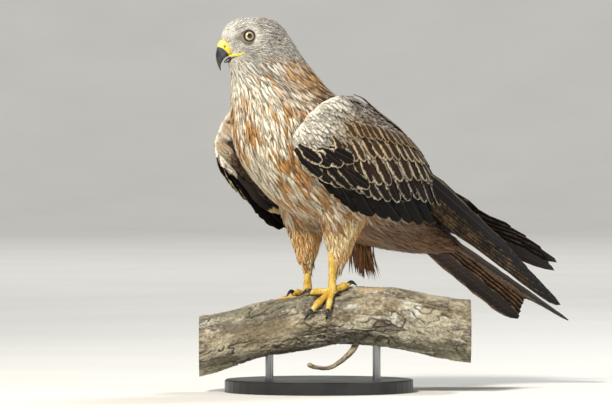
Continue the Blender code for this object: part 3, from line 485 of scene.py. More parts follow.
@dataclass(frozen=True)
class WingShape:
    """A folded wing's shell about a sloping axis, and the same shell moved to the right side.

    Each station gives the distance along, the centre, half width and half depth, the core's
    lower and upper edge in degrees round the axis, and the core's thickness.
    """

    side: str = "left"
    slope: float = math.radians(38.0)
    squareness: float = 2.9
    origin: Array = table(0.0, 0.0, 300.0)
    stations: Array = table(
        (-97.0, -9.0, 74.0, 66.0, -26.0, -4.0, 6.0),
        (-90.0, -7.0, 82.0, 72.0, -36.0, 8.0, 12.0),
        (-72.0, -5.0, 86.0, 77.0, -42.0, 26.0, 16.0),
        (-39.0, -4.0, 88.0, 77.0, -43.0, 48.0, 17.0),
        (0.0, -4.0, 89.0, 79.0, -40.0, 68.0, 16.0),
        (50.0, -3.0, 88.0, 84.0, -24.0, 78.0, 14.0),
        (100.0, 0.0, 83.0, 77.0, -2.0, 77.0, 12.0),
        (150.0, 7.0, 71.0, 60.0, 28.0, 76.0, 10.0),
        (188.0, 16.5, 64.0, 50.0, 48.0, 72.0, 7.0),
        (230.0, 27.0, 58.0, 43.0, 50.0, 70.0, 5.0),
        (300.0, 48.0, 50.0, 28.0, 50.0, 62.0, 4.0),
        (386.0, 66.0, 46.0, 16.0, 50.0, 60.0, 2.0),
        (414.0, 70.0, 44.0, 12.0, 50.0, 60.0, 2.0),
    )
    core_end: float = 186.0
    wrist: Array = table(-80.0, -98.0, 325.0)
    pivot: Array = table(-80.0, -40.0, 300.0)
    pitch: float = math.radians(9.0)
    yaw: float = math.radians(-8.0)
    stretch: float = 1.045
    droop: float = 31.0
    sink: float = 12.0

    @property
    def along(self) -> Array:
        """The wing's axis, towards its tip."""
        return np.array([0.0, math.cos(self.slope), -math.sin(self.slope)])

    @property
    def out(self) -> Array:
        """Square to the axis, away from the body."""
        return np.array([0.0, math.sin(self.slope), math.cos(self.slope)])

    def shell(self, along: Array, angle: Array, lift: Array = 0.0) -> Array:
        """Points of the left wing's shell: a rounded ellipse about the sloping axis."""
        along, angle, lift = np.broadcast_arrays(*(np.asarray(v, float) for v in (along, angle, lift)))
        row = at_distance(self.stations, along.ravel()).reshape(along.shape + (6,))
        across = signed_power(np.cos(angle), 2 / self.squareness) * (row[..., 1] + lift)
        out = row[..., 0] + signed_power(np.sin(angle), 2 / self.squareness) * (row[..., 2] + lift)
        points = self.origin + along[..., None] * self.along + out[..., None] * self.out
        points[..., 0] += across
        return points

    def _frame(self, points: Array) -> tuple[Array, ...]:
        """Distance along the wing, across and outward, and the shell's sizes there."""
        offset = points - self.origin
        along = offset @ self.along
        row = at_distance(self.stations, along.ravel())[:, :3].reshape(along.shape + (3,))
        return along, points[..., 0], offset @ self.out - row[..., 0], row[..., 0], row[..., 1], row[..., 2]

    def onto(self, points: Array, lift: Array) -> Array:
        """Moves points straight out from the left wing's axis onto its shell, raised by lift."""
        along, across, out, centre, wide, deep = self._frame(points)
        power = self.squareness
        reach = np.abs(across / (wide + lift)) ** power + np.abs(out / (deep + lift)) ** power
        reach = np.maximum(reach, 1e-6) ** (1 / power)
        placed = self.origin + along[..., None] * self.along + (centre + out / reach)[..., None] * self.out
        placed[..., 0] = across / reach
        return placed

    def normal(self, points: Array) -> Array:
        """Outward normals of the left wing's shell near these points."""
        _, across, out, _, wide, deep = self._frame(points)
        power = self.squareness - 1
        normal = (signed_power(out / deep, power) / deep)[..., None] * self.out
        normal[..., 0] = signed_power(across / wide, power) / wide
        return unit(normal)

    def place(self, points: Array) -> Array:
        """Points of the left wing, moved to this wing: mirrored, drooped, stretched and turned."""
        if self.side == "left":
            return points
        offset = points - self.origin
        along, out = offset @ self.along, offset @ self.out
        droop = self.droop * bump(along, 30, 75) * np.clip((10 - out) / 70, 0, 1.2)
        sink = self.sink * bump(along, 225, 80) * np.clip(out / 60, 0, 1)
        points = (points - (droop + sink)[..., None] * self.out) * (-1.0, 1.0, 1.0)
        ahead = ((points - self.wrist) @ self.along)[..., None]
        points = points + self.along * ahead * (self.stretch - 1)
        points = turned(points, self.pivot, (1.0, 0.0, 0.0), self.pitch)
        return turned(points, self.pivot, UP, self.yaw)

    def point(self, along: Array, angle: Array, lift: Array = 0.0) -> Array:
        """Points of this wing's shell."""
        return self.place(self.shell(along, angle, lift))

    def core_rings(self, shrink: float, rows: int = 40, sides: int = 24) -> Array:
        """Rings of the wing's arm, lying inside the shell by the shrink."""
        rings = []
        for along in np.linspace(self.stations[0, 0] + shrink, self.core_end - shrink, rows):
            row = at_distance(self.stations, np.array([along]))[0]
            trim = math.degrees(shrink / 80)
            angle = np.radians(np.linspace(row[3] + trim, row[4] - trim, sides))
            edge = np.sin(np.linspace(0, math.pi, sides)) ** 0.5
            outer = self.shell(along, angle, -shrink)
            inner = self.shell(along, angle, -shrink - max(row[5] - 2 * shrink, 1.5) * (0.25 + 0.75 * edge))
            rings.append(np.vstack([outer, inner[::-1]]))
        return self.place(np.array(rings))


@dataclass(frozen=True)
class TailShape:
    """The forked tail's fan: each feather's place follows from its share of the spread."""

    root: Array = table(0.0, 109.0, 245.0)
    slope: float = math.radians(29.2)
    feathers: int = 12
    start: float = 66.0
    middle_length: float = 275.0
    fork: float = 37.0
    half_width: float = 66.0
    spread_power: float = 0.38
    feather_half_width: float = 18.0
    layer: float = 1.2
    edge_drop: float = 9.0

    @property
    def along(self) -> Array:
        """The tail's axis, towards its tip."""
        return np.array([0.0, math.cos(self.slope), -math.sin(self.slope)])

    @property
    def up(self) -> Array:
        """Square to the fan, upwards."""
        return np.array([0.0, math.sin(self.slope), math.cos(self.slope)])

    def length(self, share: Array) -> Array:
        """How far a feather reaches: the middle ones' length plus the fork's share."""
        return self.middle_length + self.fork * np.abs(share) ** 1.4

    def point(self, reach: Array, across: Array, layer: Array) -> Array:
        """A point of the fan, which bows down towards its edges by the square of the distance."""
        drop = layer + self.edge_drop * (across / self.half_width) ** 2
        points = self.root + reach[..., None] * self.along - drop[..., None] * self.up
        points[..., 0] = across
        return points


@dataclass(frozen=True)
class BranchShape:
    """A thick branch: distance along, height of its axis and radius at each station."""

    stations: Array = table(
        (-150.0, 58.0, 38.0),
        (-112.0, 66.6, 36.0),
        (-62.0, 79.0, 35.0),
        (-13.0, 89.0, 35.5),
        (41.0, 95.5, 36.5),
        (101.0, 91.0, 38.5),
        (160.0, 81.0, 39.5),
        (190.0, 75.0, 40.5),
    )
    heading: float = math.radians(50.0)

    @property
    def along(self) -> Array:
        """The branch's axis as seen from above."""
        return np.array([math.cos(self.heading), math.sin(self.heading), 0.0])

    @property
    def front(self) -> Array:
        """Level and square to the branch, towards the bird's front."""
        return np.array([math.sin(self.heading), -math.cos(self.heading), 0.0])

    def radius(self, along: Array) -> Array:
        """The branch's mean radius at these distances."""
        return at_distance(self.stations, np.ravel(along))[:, 1].reshape(np.shape(along))

    def point(self, along: Array, angle: Array, lift: Array = 0.0) -> Array:
        """Points on the bark: angle 0 faces the front, and a quarter turn is the top."""
        along, angle, lift = np.broadcast_arrays(*(np.asarray(v, float) for v in (along, angle, lift)))
        row = at_distance(self.stations, along.ravel()).reshape(along.shape + (2,))
        bark = 1 + 0.025 * np.sin(3 * angle + along / 23) + 0.02 * np.sin(5 * angle - along / 15 + 1)
        reach = row[..., 1] * bark + lift
        return (
            along[..., None] * self.along
            + (row[..., 0] + reach * np.sin(angle))[..., None] * UP
            + (reach * np.cos(angle))[..., None] * self.front
        )


@dataclass(frozen=True)
class LegShape:
    """One leg: where it stands, its thigh's rings, its shank and its toes."""

    side: str
    places: dict = per_side((28.0, -2.0), (-28.0, 5.0))
    thigh: Array = table(
        (244.0, 31.0, 44.0, 16.0, 6.0),
        (222.0, 27.0, 36.0, 12.0, 4.0),
        (200.0, 21.0, 26.0, 9.0, 2.0),
        (180.0, 15.0, 18.5, 8.0, 0.0),
        (166.0, 11.0, 14.0, 7.0, 0.0),
        (154.0, 5.5, 7.5, 6.0, 0.0),
    )
    thigh_back: dict = per_side(4.0, -10.0)
    shank: Array = table(
        (176.0, 4.6, 5.4), (160.0, 4.2, 5.0), (142.0, 4.2, 4.8), (129.5, 5.6, 5.8), (124.0, 6.0, 6.2),
    )
    toes: dict = per_side(
        ((-48.0, 29.0, 4.4), (6.0, 39.0, 4.3), (40.0, 32.0, 3.9), (176.0, 27.0, 4.5)),
        ((8.0, 29.0, 4.4), (-40.0, 44.0, 4.3), (-92.0, 34.0, 3.9), (170.0, 27.0, 4.5)),
    )

    @property
    def foot(self) -> Array:
        """Where the leg stands, seen from above."""
        return np.array([*self.places[self.side], 0.0])

    def point(self, row: Array, angle: Array, lift: Array = 0.0) -> Array:
        """Points on the thigh's feathers at a row of its table: an upright cone, open towards the body."""
        row, angle, lift = np.broadcast_arrays(*(np.asarray(v, float) for v in (row, angle, lift)))
        values = through(self.thigh, row.ravel()).reshape(row.shape + (5,))
        sign = math.copysign(1, self.foot[0])
        x = self.foot[0] + sign * values[..., 4] + (values[..., 1] + lift) * np.cos(angle)
        y = self.foot[1] + values[..., 3] + self.thigh_back[self.side]
        y = y + (values[..., 2] + lift) * np.sin(angle)
        return np.stack([x, y, values[..., 0]], axis=-1)

    def toe_path(
        self, branch: BranchShape, heading: float, distance: Array, radius: float
    ) -> tuple[Array, Array]:
        """Where a toe lies on the branch: distance along it, and angle round it."""
        bearing = math.radians(heading)
        ahead = np.array([math.sin(bearing), -math.cos(bearing), 0.0])
        along = self.foot @ branch.along + distance * (ahead @ branch.along)
        over = self.foot @ branch.front + distance * (ahead @ branch.front)
        return along, math.pi / 2 - over / (branch.radius(along) + radius)


BODY = BodyShape()
BRANCH = BranchShape()


# Finishes


@dataclass(frozen=True)
class Finish:
    """A named material. Each kind of finish draws what its shader's inputs take."""

    name: str

    def draw(self, tree: bpy.types.NodeTree) -> dict[str, object]:
        """Draws the nodes and returns a socket or a plain value for each input it sets."""
        raise NotImplementedError

    def make(self) -> bpy.types.Material:
        """Makes the material. Plain values are set on the shader's own sockets."""
        material = bpy.data.materials.new(self.name)
        material.use_nodes = True
        tree = material.node_tree
        for name, value in self.draw(tree).items():
            plug(tree, value, tree.nodes["Principled BSDF"].inputs[name])
        return material


@dataclass(frozen=True)
class SmallFeatherFinish(Finish):
    """Soft contour feathers: dull keratin barbs with a faint sheen; each carries its own markings.

    Barbs leave the shaft at about 45 degrees. Real ones are 0.3 mm apart, and they are drawn three
    times as coarse so that they show.
    """

    name: str = "contour_feather_barbs"
    barb_mm: float = 0.9
    barb_depth: float = 0.22
    mottle_mm: float = 2.38
    shaft_mm: float = 0.42
    shaft_colour: str = "#2b1a10"

    def draw(self, tree: bpy.types.NodeTree) -> dict[str, object]:
        """Draws the plumage attribute under fine barb lines, with a dark shaft where marks ask for it."""
        place = add(tree, "TexCoord", out="Object")
        plumage = add(tree, "Attribute", attribute_name="plumage")
        marks = add(tree, "Attribute", attribute_name="marks")
        has_shaft = add(tree, "SeparateColor", (marks,), "Red")
        x, y, _ = add(tree, "SeparateXYZ", (add(tree, "UVMap", uv_map="barbs"),)).node.outputs
        slant = add(tree, "Math", (x, y), operation="ADD")
        wave = add(tree, "Math", (slant, 2 * math.pi * 100 / self.barb_mm), operation="MULTIPLY")
        barbs = add(tree, "Math", (wave,), operation="SINE")
        mottle = add(tree, "TexNoise", {"Vector": place, "Scale": 1000 / self.mottle_mm, "Detail": 3.0})
        shade = add(tree, "MapRange", (barbs, -1.0, 1.0, 1 - self.barb_depth, 1.0))
        tone = add(tree, "MapRange", (mottle, 0.3, 0.7, 0.86, 1.12))
        both = add(tree, "Math", (shade, tone), operation="MULTIPLY")
        web = add(tree, "VectorMath", {0: plumage, "Scale": both}, operation="SCALE")
        half = self.shaft_mm / 100
        line = add(tree, "MapRange", (x, half, 2.2 * half, 1.0, 0.0), interpolation_type="SMOOTHSTEP")
        drawn = add(tree, "Math", (line, has_shaft), operation="MULTIPLY")
        shaft = (*srgb(self.shaft_colour), 1.0)
        return {
            "Base Color": add(tree, "Mix", {0: drawn, 6: web, 7: shaft}, 2, data_type="RGBA"),
            "Normal": add(tree, "Bump", {"Strength": 0.35, "Distance": 0.0003, "Height": barbs}),
            "Roughness": 0.6,
            "Specular IOR Level": 0.3,
            "Sheen Weight": 0.06,
            "Sheen Roughness": 0.5,
        }


@dataclass(frozen=True)
class VaneFinish(Finish):
    """Flight feathers: closed, smooth vanes with a horny shaft, glossier than the body's feathers.

    The map "vane" runs 0 to 1 across and along; "barbs" gives the same in tenths of a metre. The
    attribute "marks" holds fringe width, bar strength and the tip's share of the length.
    """

    name: str = "flight_feather_vane"
    barb_mm: float = 1.3
    bar_mm: float = 13.0
    fray_mm: float = 3.33
    patch_mm: float = 16.7
    shaft_half: float = 0.035
    shaft_colour: str = "#8a7a68"

    def draw(self, tree: bpy.types.NodeTree) -> dict[str, object]:
        """Draws the web with its pale ragged fringe, its shaft, its dark bars and its barbs."""
        web = add(tree, "Attribute", attribute_name="web")
        fringe = add(tree, "Attribute", attribute_name="fringe")
        marks = add(tree, "Attribute", attribute_name="marks")
        width, bar_strength, tip_share = add(tree, "SeparateColor", (marks,)).node.outputs
        share_x, share_y, _ = add(tree, "SeparateXYZ", (add(tree, "UVMap", uv_map="vane"),)).node.outputs
        size_x, size_y, _ = add(tree, "SeparateXYZ", (add(tree, "UVMap", uv_map="barbs"),)).node.outputs
        place = add(tree, "TexCoord", out="Object")
        fray = add(tree, "TexNoise", {"Vector": place, "Scale": 1000 / self.fray_mm, "Detail": 3.0})
        patch = add(tree, "TexNoise", {"Vector": place, "Scale": 1000 / self.patch_mm, "Detail": 2.0})
        centred = add(tree, "Math", (share_x, 2.0, -1.0), operation="MULTIPLY_ADD")
        across = add(tree, "Math", (centred,), operation="ABSOLUTE")
        ahead = add(tree, "Math", (1.0, share_y), operation="SUBTRACT")
        to_tip = add(tree, "Math", (ahead, tip_share), operation="DIVIDE")
        at_side = add(tree, "Math", (across, 0.05), operation="SUBTRACT")
        at_tip = add(tree, "Math", (1.0, to_tip), operation="SUBTRACT")
        edge = add(tree, "Math", (at_side, at_tip), operation="MAXIMUM")
        lower = add(tree, "Math", (edge, 0.3), operation="SUBTRACT")
        ragged = add(tree, "Math", (fray, 0.6, lower), operation="MULTIPLY_ADD")
        lower = add(tree, "Math", (ragged, 0.25), operation="SUBTRACT")
        ragged = add(tree, "Math", (patch, 0.5, lower), operation="MULTIPLY_ADD")
        start = add(tree, "Math", (1.0, width), operation="SUBTRACT")
        first = add(tree, "Math", (start, 0.22), operation="SUBTRACT")
        last = add(tree, "Math", (start, 0.2), operation="ADD")
        band = add(tree, "MapRange", (ragged, first, last, 0.0, 1.0), interpolation_type="SMOOTHSTEP")
        has_fringe = add(tree, "Math", (width, 0.02), operation="GREATER_THAN")
        band = add(tree, "Math", (band, has_fringe), operation="MULTIPLY")
        wander = add(tree, "Math", (patch, 5.0), operation="MULTIPLY")
        turns = 2 * math.pi * 100
        wave = add(tree, "Math", (size_y, turns / self.bar_mm, wander), operation="MULTIPLY_ADD")
        bars = add(tree, "Math", (wave,), operation="SINE")
        bars = add(tree, "MapRange", (bars, 0.15, 0.75, 0.0, 1.0), interpolation_type="SMOOTHSTEP")
        bars = add(tree, "Math", (bars, bar_strength), operation="MULTIPLY")
        slant = add(tree, "Math", (size_x, size_y), operation="ADD")
        wave = add(tree, "Math", (slant, turns / self.barb_mm), operation="MULTIPLY")
        barbs = add(tree, "Math", (wave,), operation="SINE")
        tone = add(tree, "MapRange", (fray, 0.3, 0.7, 0.82, 1.16))
        lines = add(tree, "MapRange", (barbs, -1.0, 1.0, 0.8, 1.06))
        dark = add(tree, "MapRange", (bars, 0.0, 1.0, 1.0, 0.3))
        both = add(tree, "Math", (tone, lines), operation="MULTIPLY")
        strength = add(tree, "Math", (both, dark), operation="MULTIPLY")
        toned = add(tree, "VectorMath", {0: web, "Scale": strength}, operation="SCALE")
        edged = add(tree, "Mix", {0: band, 6: toned, 7: fringe}, 2, data_type="RGBA")
        rib = (across, self.shaft_half, self.shaft_half * 2.2, 0.4, 0.0)
        shaft = add(tree, "MapRange", rib, interpolation_type="SMOOTHSTEP")
        horny = (*srgb(self.shaft_colour), 1.0)
        quill = add(tree, "Mix", {0: 0.25, 6: edged, 7: horny}, 2, data_type="RGBA")
        return {
            "Base Color": add(tree, "Mix", {0: shaft, 6: edged, 7: quill}, 2, data_type="RGBA"),
            "Normal": add(tree, "Bump", {"Strength": 0.3, "Distance": 0.0003, "Height": barbs}),
            "Roughness": 0.55,
            "Specular IOR Level": 0.12,
        }


@dataclass(frozen=True)
class DownFinish(Finish):
    """The skin under the coat: down and feather bases in the coat's own colours, quite dull."""

    name: str = "down_and_feather_bases"
    lump_mm: float = 3.03

    def draw(self, tree: bpy.types.NodeTree) -> dict[str, object]:
        """Draws the plumage attribute's colour, darkened, over soft lumps."""
        place = add(tree, "TexCoord", out="Object")
        plumage = add(tree, "Attribute", attribute_name="plumage")
        fluff = add(tree, "TexNoise", {"Vector": place, "Scale": 1000 / self.lump_mm, "Detail": 4.0})
        tone = add(tree, "MapRange", (fluff, 0.3, 0.7, 0.6, 0.95))
        return {
            "Base Color": add(tree, "VectorMath", {0: plumage, "Scale": tone}, operation="SCALE"),
            "Normal": add(tree, "Bump", {"Strength": 0.6, "Distance": 0.001, "Height": fluff}),
            "Roughness": 0.9,
        }


@dataclass(frozen=True)
class HornFinish(Finish):
    """Grown keratin: bill sheath and claws, polished by wear, with faint growth lines."""

    roughness: float = 0.28
    coat: float = 0.3
    grain_mm: float = 1.43
    patch_mm: float = 5.56

    def draw(self, tree: bpy.types.NodeTree) -> dict[str, object]:
        """Draws the horn attribute's colour with fine streaks and a thin clear polish."""
        horn = add(tree, "Attribute", attribute_name="horn")
        place = add(tree, "TexCoord", out="Object")
        grain = add(tree, "TexNoise", {"Vector": place, "Scale": 1000 / self.grain_mm, "Detail": 4.0})
        patch = add(tree, "TexNoise", {"Vector": place, "Scale": 1000 / self.patch_mm, "Detail": 2.0})
        tone = add(tree, "MapRange", (grain, 0.3, 0.7, 0.82, 1.14))
        return {
            "Base Color": add(tree, "VectorMath", {0: horn, "Scale": tone}, operation="SCALE"),
            "Roughness": add(tree, "MapRange", (patch, 0.3, 0.7, self.roughness * 0.8, self.roughness * 1.5)),
            "Normal": add(tree, "Bump", {"Strength": 0.2, "Distance": 0.0002, "Height": grain}),
            "IOR": 1.54,
            "Coat Weight": self.coat,
            "Coat Roughness": 0.12,
        }


@dataclass(frozen=True)
class ScaleFinish(Finish):
    """Scaly leg skin: small horny scales 1 to 2 mm across over soft tissue, waxy and warm."""

    name: str = "scaly_yellow_skin"
    scale_mm: float = 1.7
    patch_mm: float = 8.33
    crease: str = "#8a5f1e"
    yellows: tuple[tuple[float, str], ...] = ((0.32, "#cfa032"), (0.5, "#e3c04a"), (0.68, "#f2dc86"))

    def draw(self, tree: bpy.types.NodeTree) -> dict[str, object]:
        """Draws yellow skin with darker seams between its scales."""
        place = add(tree, "TexCoord", out="Object")
        cells = {"Vector": place, "Scale": 1000 / self.scale_mm}
        edges = add(tree, "TexVoronoi", cells, feature="DISTANCE_TO_EDGE")
        seam = add(tree, "MapRange", (edges, 0.0, 0.14, 0.0, 1.0))
        patch = add(tree, "TexNoise", {"Vector": place, "Scale": 1000 / self.patch_mm, "Detail": 4.0})
        yellow = add(tree, "ValToRGB", (patch,), stops=self.yellows)
        crease = (*srgb(self.crease), 1.0)
        return {
            "Base Color": add(tree, "Mix", {0: seam, 6: crease, 7: yellow}, 2, data_type="RGBA"),
            "Normal": add(tree, "Bump", {"Strength": 0.55, "Distance": 0.0004, "Height": seam}),
            "Roughness": 0.42,
            "Subsurface Weight": 0.12,
            "Subsurface Radius": (0.004, 0.002, 0.001),
        }


@dataclass(frozen=True)
class SoftSkinFinish(Finish):
    """Bare skin of the eye's rim: thin, finely wrinkled and slightly moist."""

    name: str = "bare_lid_skin"
    wrinkle_mm: float = 0.625

    def draw(self, tree: bpy.types.NodeTree) -> dict[str, object]:
        """Draws the horn attribute's colour with fine wrinkles."""
        horn = add(tree, "Attribute", attribute_name="horn")
        place = add(tree, "TexCoord", out="Object")
        grain = add(tree, "TexVoronoi", {"Vector": place, "Scale": 1000 / self.wrinkle_mm})
        tone = add(tree, "MapRange", (grain, 0.0, 0.8, 0.8, 1.15))
        return {
            "Base Color": add(tree, "VectorMath", {0: horn, "Scale": tone}, operation="SCALE"),
            "Normal": add(tree, "Bump", {"Strength": 0.4, "Distance": 0.0002, "Height": grain}),
            "Roughness": 0.45,
        }


@dataclass(frozen=True)
class EyeFinish(Finish):
    """A live eye: smooth wet cornea over a pale yellow-grey iris with fine rays, and a black pupil."""

    name: str = "wet_eye_with_pale_iris"
    pupil: float = 0.42
    iris: float = 0.80

    def draw(self, tree: bpy.types.NodeTree) -> dict[str, object]:
        """Draws rings by the map "iris": distance from the eye's axis, and turn about it."""
        away, turn, _ = add(tree, "SeparateXYZ", (add(tree, "UVMap", uv_map="iris"),)).node.outputs
        rays = add(tree, "CombineXYZ", (turn, 0.0, 0.0))
        streak = add(tree, "TexNoise", {"Vector": rays, "Scale": 60.0, "Detail": 3.0})
        tone = add(tree, "MapRange", (streak, 0.3, 0.7, 0.8, 1.2))
        rings = add(tree, "ValToRGB", (away,), stops=(
            (0.0, "#050302"), (self.pupil - 0.03, "#050302"), (self.pupil + 0.03, "#6d5f43"),
            (0.56, "#beb08a"), (self.iris - 0.1, "#b0a37d"), (self.iris, "#443b29"),
            (self.iris + 0.07, "#0b0908"),
        ))
        return {
            "Base Color": add(tree, "VectorMath", {0: rings, "Scale": tone}, operation="SCALE"),
            "Roughness": 0.25,
            "IOR": 1.376,
            "Coat Weight": 1.0,
            "Coat Roughness": 0.02,
        }


@dataclass(frozen=True)
class BarkFinish(Finish):
    """Weathered bark: grey-brown cork plates, fissures darkened partly as painted shade, pale lichen and one
    bare patch.
    """

    name: str = "weathered_bark"
    coarse_mm: float = 3.85
    fine_mm: float = 1.11

    def draw(self, tree: bpy.types.NodeTree) -> dict[str, object]:
        """Draws the bark attribute, which has plates, fissures, lichen and bare wood, with fine grain."""
        bark = add(tree, "Attribute", attribute_name="bark")
        place = add(tree, "TexCoord", out="Object")
        coarse, fine = (
            add(tree, "TexNoise", {"Vector": place, "Scale": 1000 / mm, "Detail": detail, "Roughness": rough})
            for mm, detail, rough in ((self.coarse_mm, 6.0, 0.7), (self.fine_mm, 4.0, 0.65))
        )
        tone = add(tree, "MapRange", (coarse, 0.3, 0.7, 0.62, 1.32))
        height = add(tree, "Math", (coarse, fine), operation="ADD")
        return {
            "Base Color": add(tree, "VectorMath", {0: bark, "Scale": tone}, operation="SCALE"),
            "Normal": add(tree, "Bump", {"Strength": 0.8, "Distance": 0.0012, "Height": height}),
            "Roughness": 0.9,
        }


@dataclass(frozen=True)
class PaintFinish(Finish):
    """Satin black paint sprayed on turned metal, with an orange-peel skin and faint dust."""

    name: str = "satin_black_paint"
    peel_mm: float = 2.0
    dust_mm: float = 28.6

    def draw(self, tree: bpy.types.NodeTree) -> dict[str, object]:
        """Draws near-black paint with its peel and its dust."""
        place = add(tree, "TexCoord", out="Object")
        peel = add(tree, "TexNoise", {"Vector": place, "Scale": 1000 / self.peel_mm, "Detail": 2.0})
        dust = add(tree, "TexNoise", {"Vector": place, "Scale": 1000 / self.dust_mm, "Detail": 5.0})
        return {
            "Base Color": add(tree, "ValToRGB", (dust,), stops=((0.35, "#1a1a1b"), (0.7, "#262627"))),
            "Roughness": add(tree, "MapRange", (dust, 0.3, 0.7, 0.3, 0.42)),
            "Normal": add(tree, "Bump", {"Strength": 0.06, "Distance": 0.0002, "Height": peel}),
        }


@dataclass(frozen=True)
class BrushedSteelFinish(Finish):
    """Drawn steel rod: fine lines along its length that stretch the highlights."""

    name: str = "brushed_steel"
    line_mm: float = 0.5
    run_mm: float = 50.0

    def draw(self, tree: bpy.types.NodeTree) -> dict[str, object]:
        """Draws bare metal with lines along Z."""
        place = add(tree, "TexCoord", out="Object")
        scale = (1000 / self.line_mm, 1000 / self.line_mm, 1000 / self.run_mm)
        drawn = add(tree, "Mapping", {"Vector": place, "Scale": scale})
        grain = add(tree, "TexNoise", {"Vector": drawn, "Scale": 1.0, "Detail": 3.0})
        return {
            "Base Color": add(tree, "ValToRGB", (grain,), stops=((0.3, "#8d8e90"), (0.7, "#b9babc"))),
            "Normal": add(tree, "Bump", {"Strength": 0.15, "Distance": 0.0001, "Height": grain}),
            "Metallic": 1.0,
            "Roughness": 0.32,
        }


@dataclass(frozen=True)
class FloorFinish(Finish):
    """Pale matt studio floor, with a very faint mottle."""

    name: str = "pale_studio_floor"
    mottle_mm: float = 333.0

    def draw(self, tree: bpy.types.NodeTree) -> dict[str, object]:
        """Draws a matt grey-beige."""
        place = add(tree, "TexCoord", out="Object")
        mottle = add(tree, "TexNoise", {"Vector": place, "Scale": 1000 / self.mottle_mm, "Detail": 4.0})
        pale = add(tree, "ValToRGB", (mottle,), stops=((0.3, "#e0ddd6"), (0.7, "#e5e2db")))
        return {"Base Color": pale, "Roughness": 0.85}


# Plumage


class Side(StrEnum):
    """The bird's own sides."""

    LEFT = "left"
    RIGHT = "right"


@dataclass
class Roots:
    """Where small feathers grow, and what each is like. Every field has one row a feather."""

    place: Array
    heading: Array
    unwrap: Array
    length: Array
    width: Array
    rise: Array
    centre: Array
    edge: Array
    tip: Array
    shaft: Array

    def only(self, wanted: Array) -> "Roots":
        """The roots for which wanted is true."""
        return Roots(**{key: value[wanted] for key, value in vars(self).items()})


@dataclass(frozen=True)
class Leaf:
    """A small feather's outline: share of its length and of its half width at each section."""

    shares: tuple[float, ...] = (0.0, 0.34, 0.78, 1.0)
    widths: tuple[float, ...] = (0.4, 0.95, 0.85, 0.1)
    shaft: float = 1.5
    thickness: float = 0.16


LANCE = Leaf((0.0, 0.3, 0.68, 1.0), (0.45, 1.0, 0.66, 0.04))
ROUND = Leaf((0.0, 0.25, 0.6, 0.86, 1.0), (0.4, 0.85, 1.0, 0.78, 0.22), 2.0)
HAIR = Leaf((0.0, 0.45, 1.0), (0.7, 1.0, 0.1), 1.2, 0.2)


@dataclass(frozen=True)
class Zone:
    """A stretch of the body's coat.

    Rows are places in the body's table, and degrees run from the bird's left to its back.
    Spacing, lengths, width and rise are in millimetres. Where eye_gap is given, feathers keep
    that far from the eyes' centres, and clear of lids and bill.
    """

    name: str
    rows: tuple[float, float]
    degrees: tuple[float, float]
    pitch: float
    seed: int
    length: tuple[float, float]
    width: float
    rise: float
    leaf: Leaf
    slot: str
    nodes: tuple[str, ...] = ()
    sink: float = 0.8
    eye_gap: float | None = None


ALL_ROUND, BEHIND, IN_FRONT = (0, 360), (5, 175), (165, 375)
ZONES = (
    Zone("head_coat", (0.45, 5.0), ALL_ROUND, 2.5, 401, (7.0, 11.0), 2.1, 1.3, HAIR, "head_feathers",
         ("head",), 0.5, 0.0),
    Zone("nape_hackles", (0.9, 5.2), BEHIND, 2.7, 461, (9.0, 15.0), 3.0, 1.9, LANCE, "head_feathers",
         (), 0.5, 17.0),
    Zone("neck_hackles", (4.6, 8.4), ALL_ROUND, 4.9, 411, (25.0, 36.0), 6.2, 2.9, LANCE, "neck_feathers",
         ("neck",)),
    Zone("breast_coat", (7.9, 12.2), IN_FRONT, 5.8, 421, (32.0, 46.0), 8.4, 3.2, LANCE, "body_feathers"),
    Zone("belly_coat", (11.8, 15.4), IN_FRONT, 5.8, 431, (30.0, 44.0), 8.2, 3.4, LANCE, "body_feathers"),
    Zone("back_coat", (7.6, 15.6), BEHIND, 8.0, 441, (20.0, 30.0), 12.0, 3.6, ROUND, "body_feathers"),
    Zone("tail_root_coat", (15.0, 17.3), ALL_ROUND, 6.0, 451, (26.0, 40.0), 8.0, 2.6, LANCE, "tail_feathers"),
)
UNWRAP_START = {"left": 0.52, "right": 0.77}


def scatter(
    surface: Callable[[Array, Array], Array],
    first: tuple[float, float],
    second: tuple[float, float],
    pitch: float,
    seed: int,
    closed: bool = True,
) -> tuple[Array, Array]:
    """Sets roots in staggered rows over a surface, about one pitch apart.

    Rows lie equally far apart along the first parameter, measured on the surface, and roots
    equally far apart along each row. Every other row is shifted by half a step, and each root
    by a small random one.

    Args:
        surface: the surface's function of two parameters.
        first: range of its first parameter, which runs along the lie of the feathers.
        second: range of its second parameter.
        pitch: distance between roots in millimetres.
        seed: for the random shifts.
        closed: whether the second parameter runs right round.

    Returns:
        The two parameters of every root.
    """
    rng = np.random.default_rng(seed)
    fine_u = np.linspace(*first, 160)
    fine_v = np.linspace(*second, 49)
    grid = surface(fine_u[:, None], fine_v[None])
    steps = np.linalg.norm(np.diff(grid, axis=0), axis=-1).mean(axis=1)
    run = np.concatenate([[0], np.cumsum(steps)])
    rows = np.arange(0.4 * pitch, run[-1], 0.87 * pitch)
    row_u = np.interp(rows, run, fine_u)
    all_u, all_v = [], []
    for number, u in enumerate(row_u):
        fine = np.linspace(*second, 240)
        ring = surface(np.full_like(fine, u), fine)
        reach = np.concatenate([[0], np.cumsum(np.linalg.norm(np.diff(ring, axis=0), axis=-1))])
        count = max(int(reach[-1] / pitch), 3)
        spots = np.arange(count) + (0.5 if number % 2 else 0.0) + rng.normal(0, 0.16, count)
        spots = spots * reach[-1] / count
        spots = spots % reach[-1] if closed else np.clip(spots, 0, reach[-1])
        all_v.append(np.interp(spots, reach, fine))
        slope = (fine_u[-1] - fine_u[0]) / run[-1]
        all_u.append(np.clip(u + rng.normal(0, 0.16 * pitch, count) * slope, min(first), max(first)))
    return np.concatenate(all_u), np.concatenate(all_v)


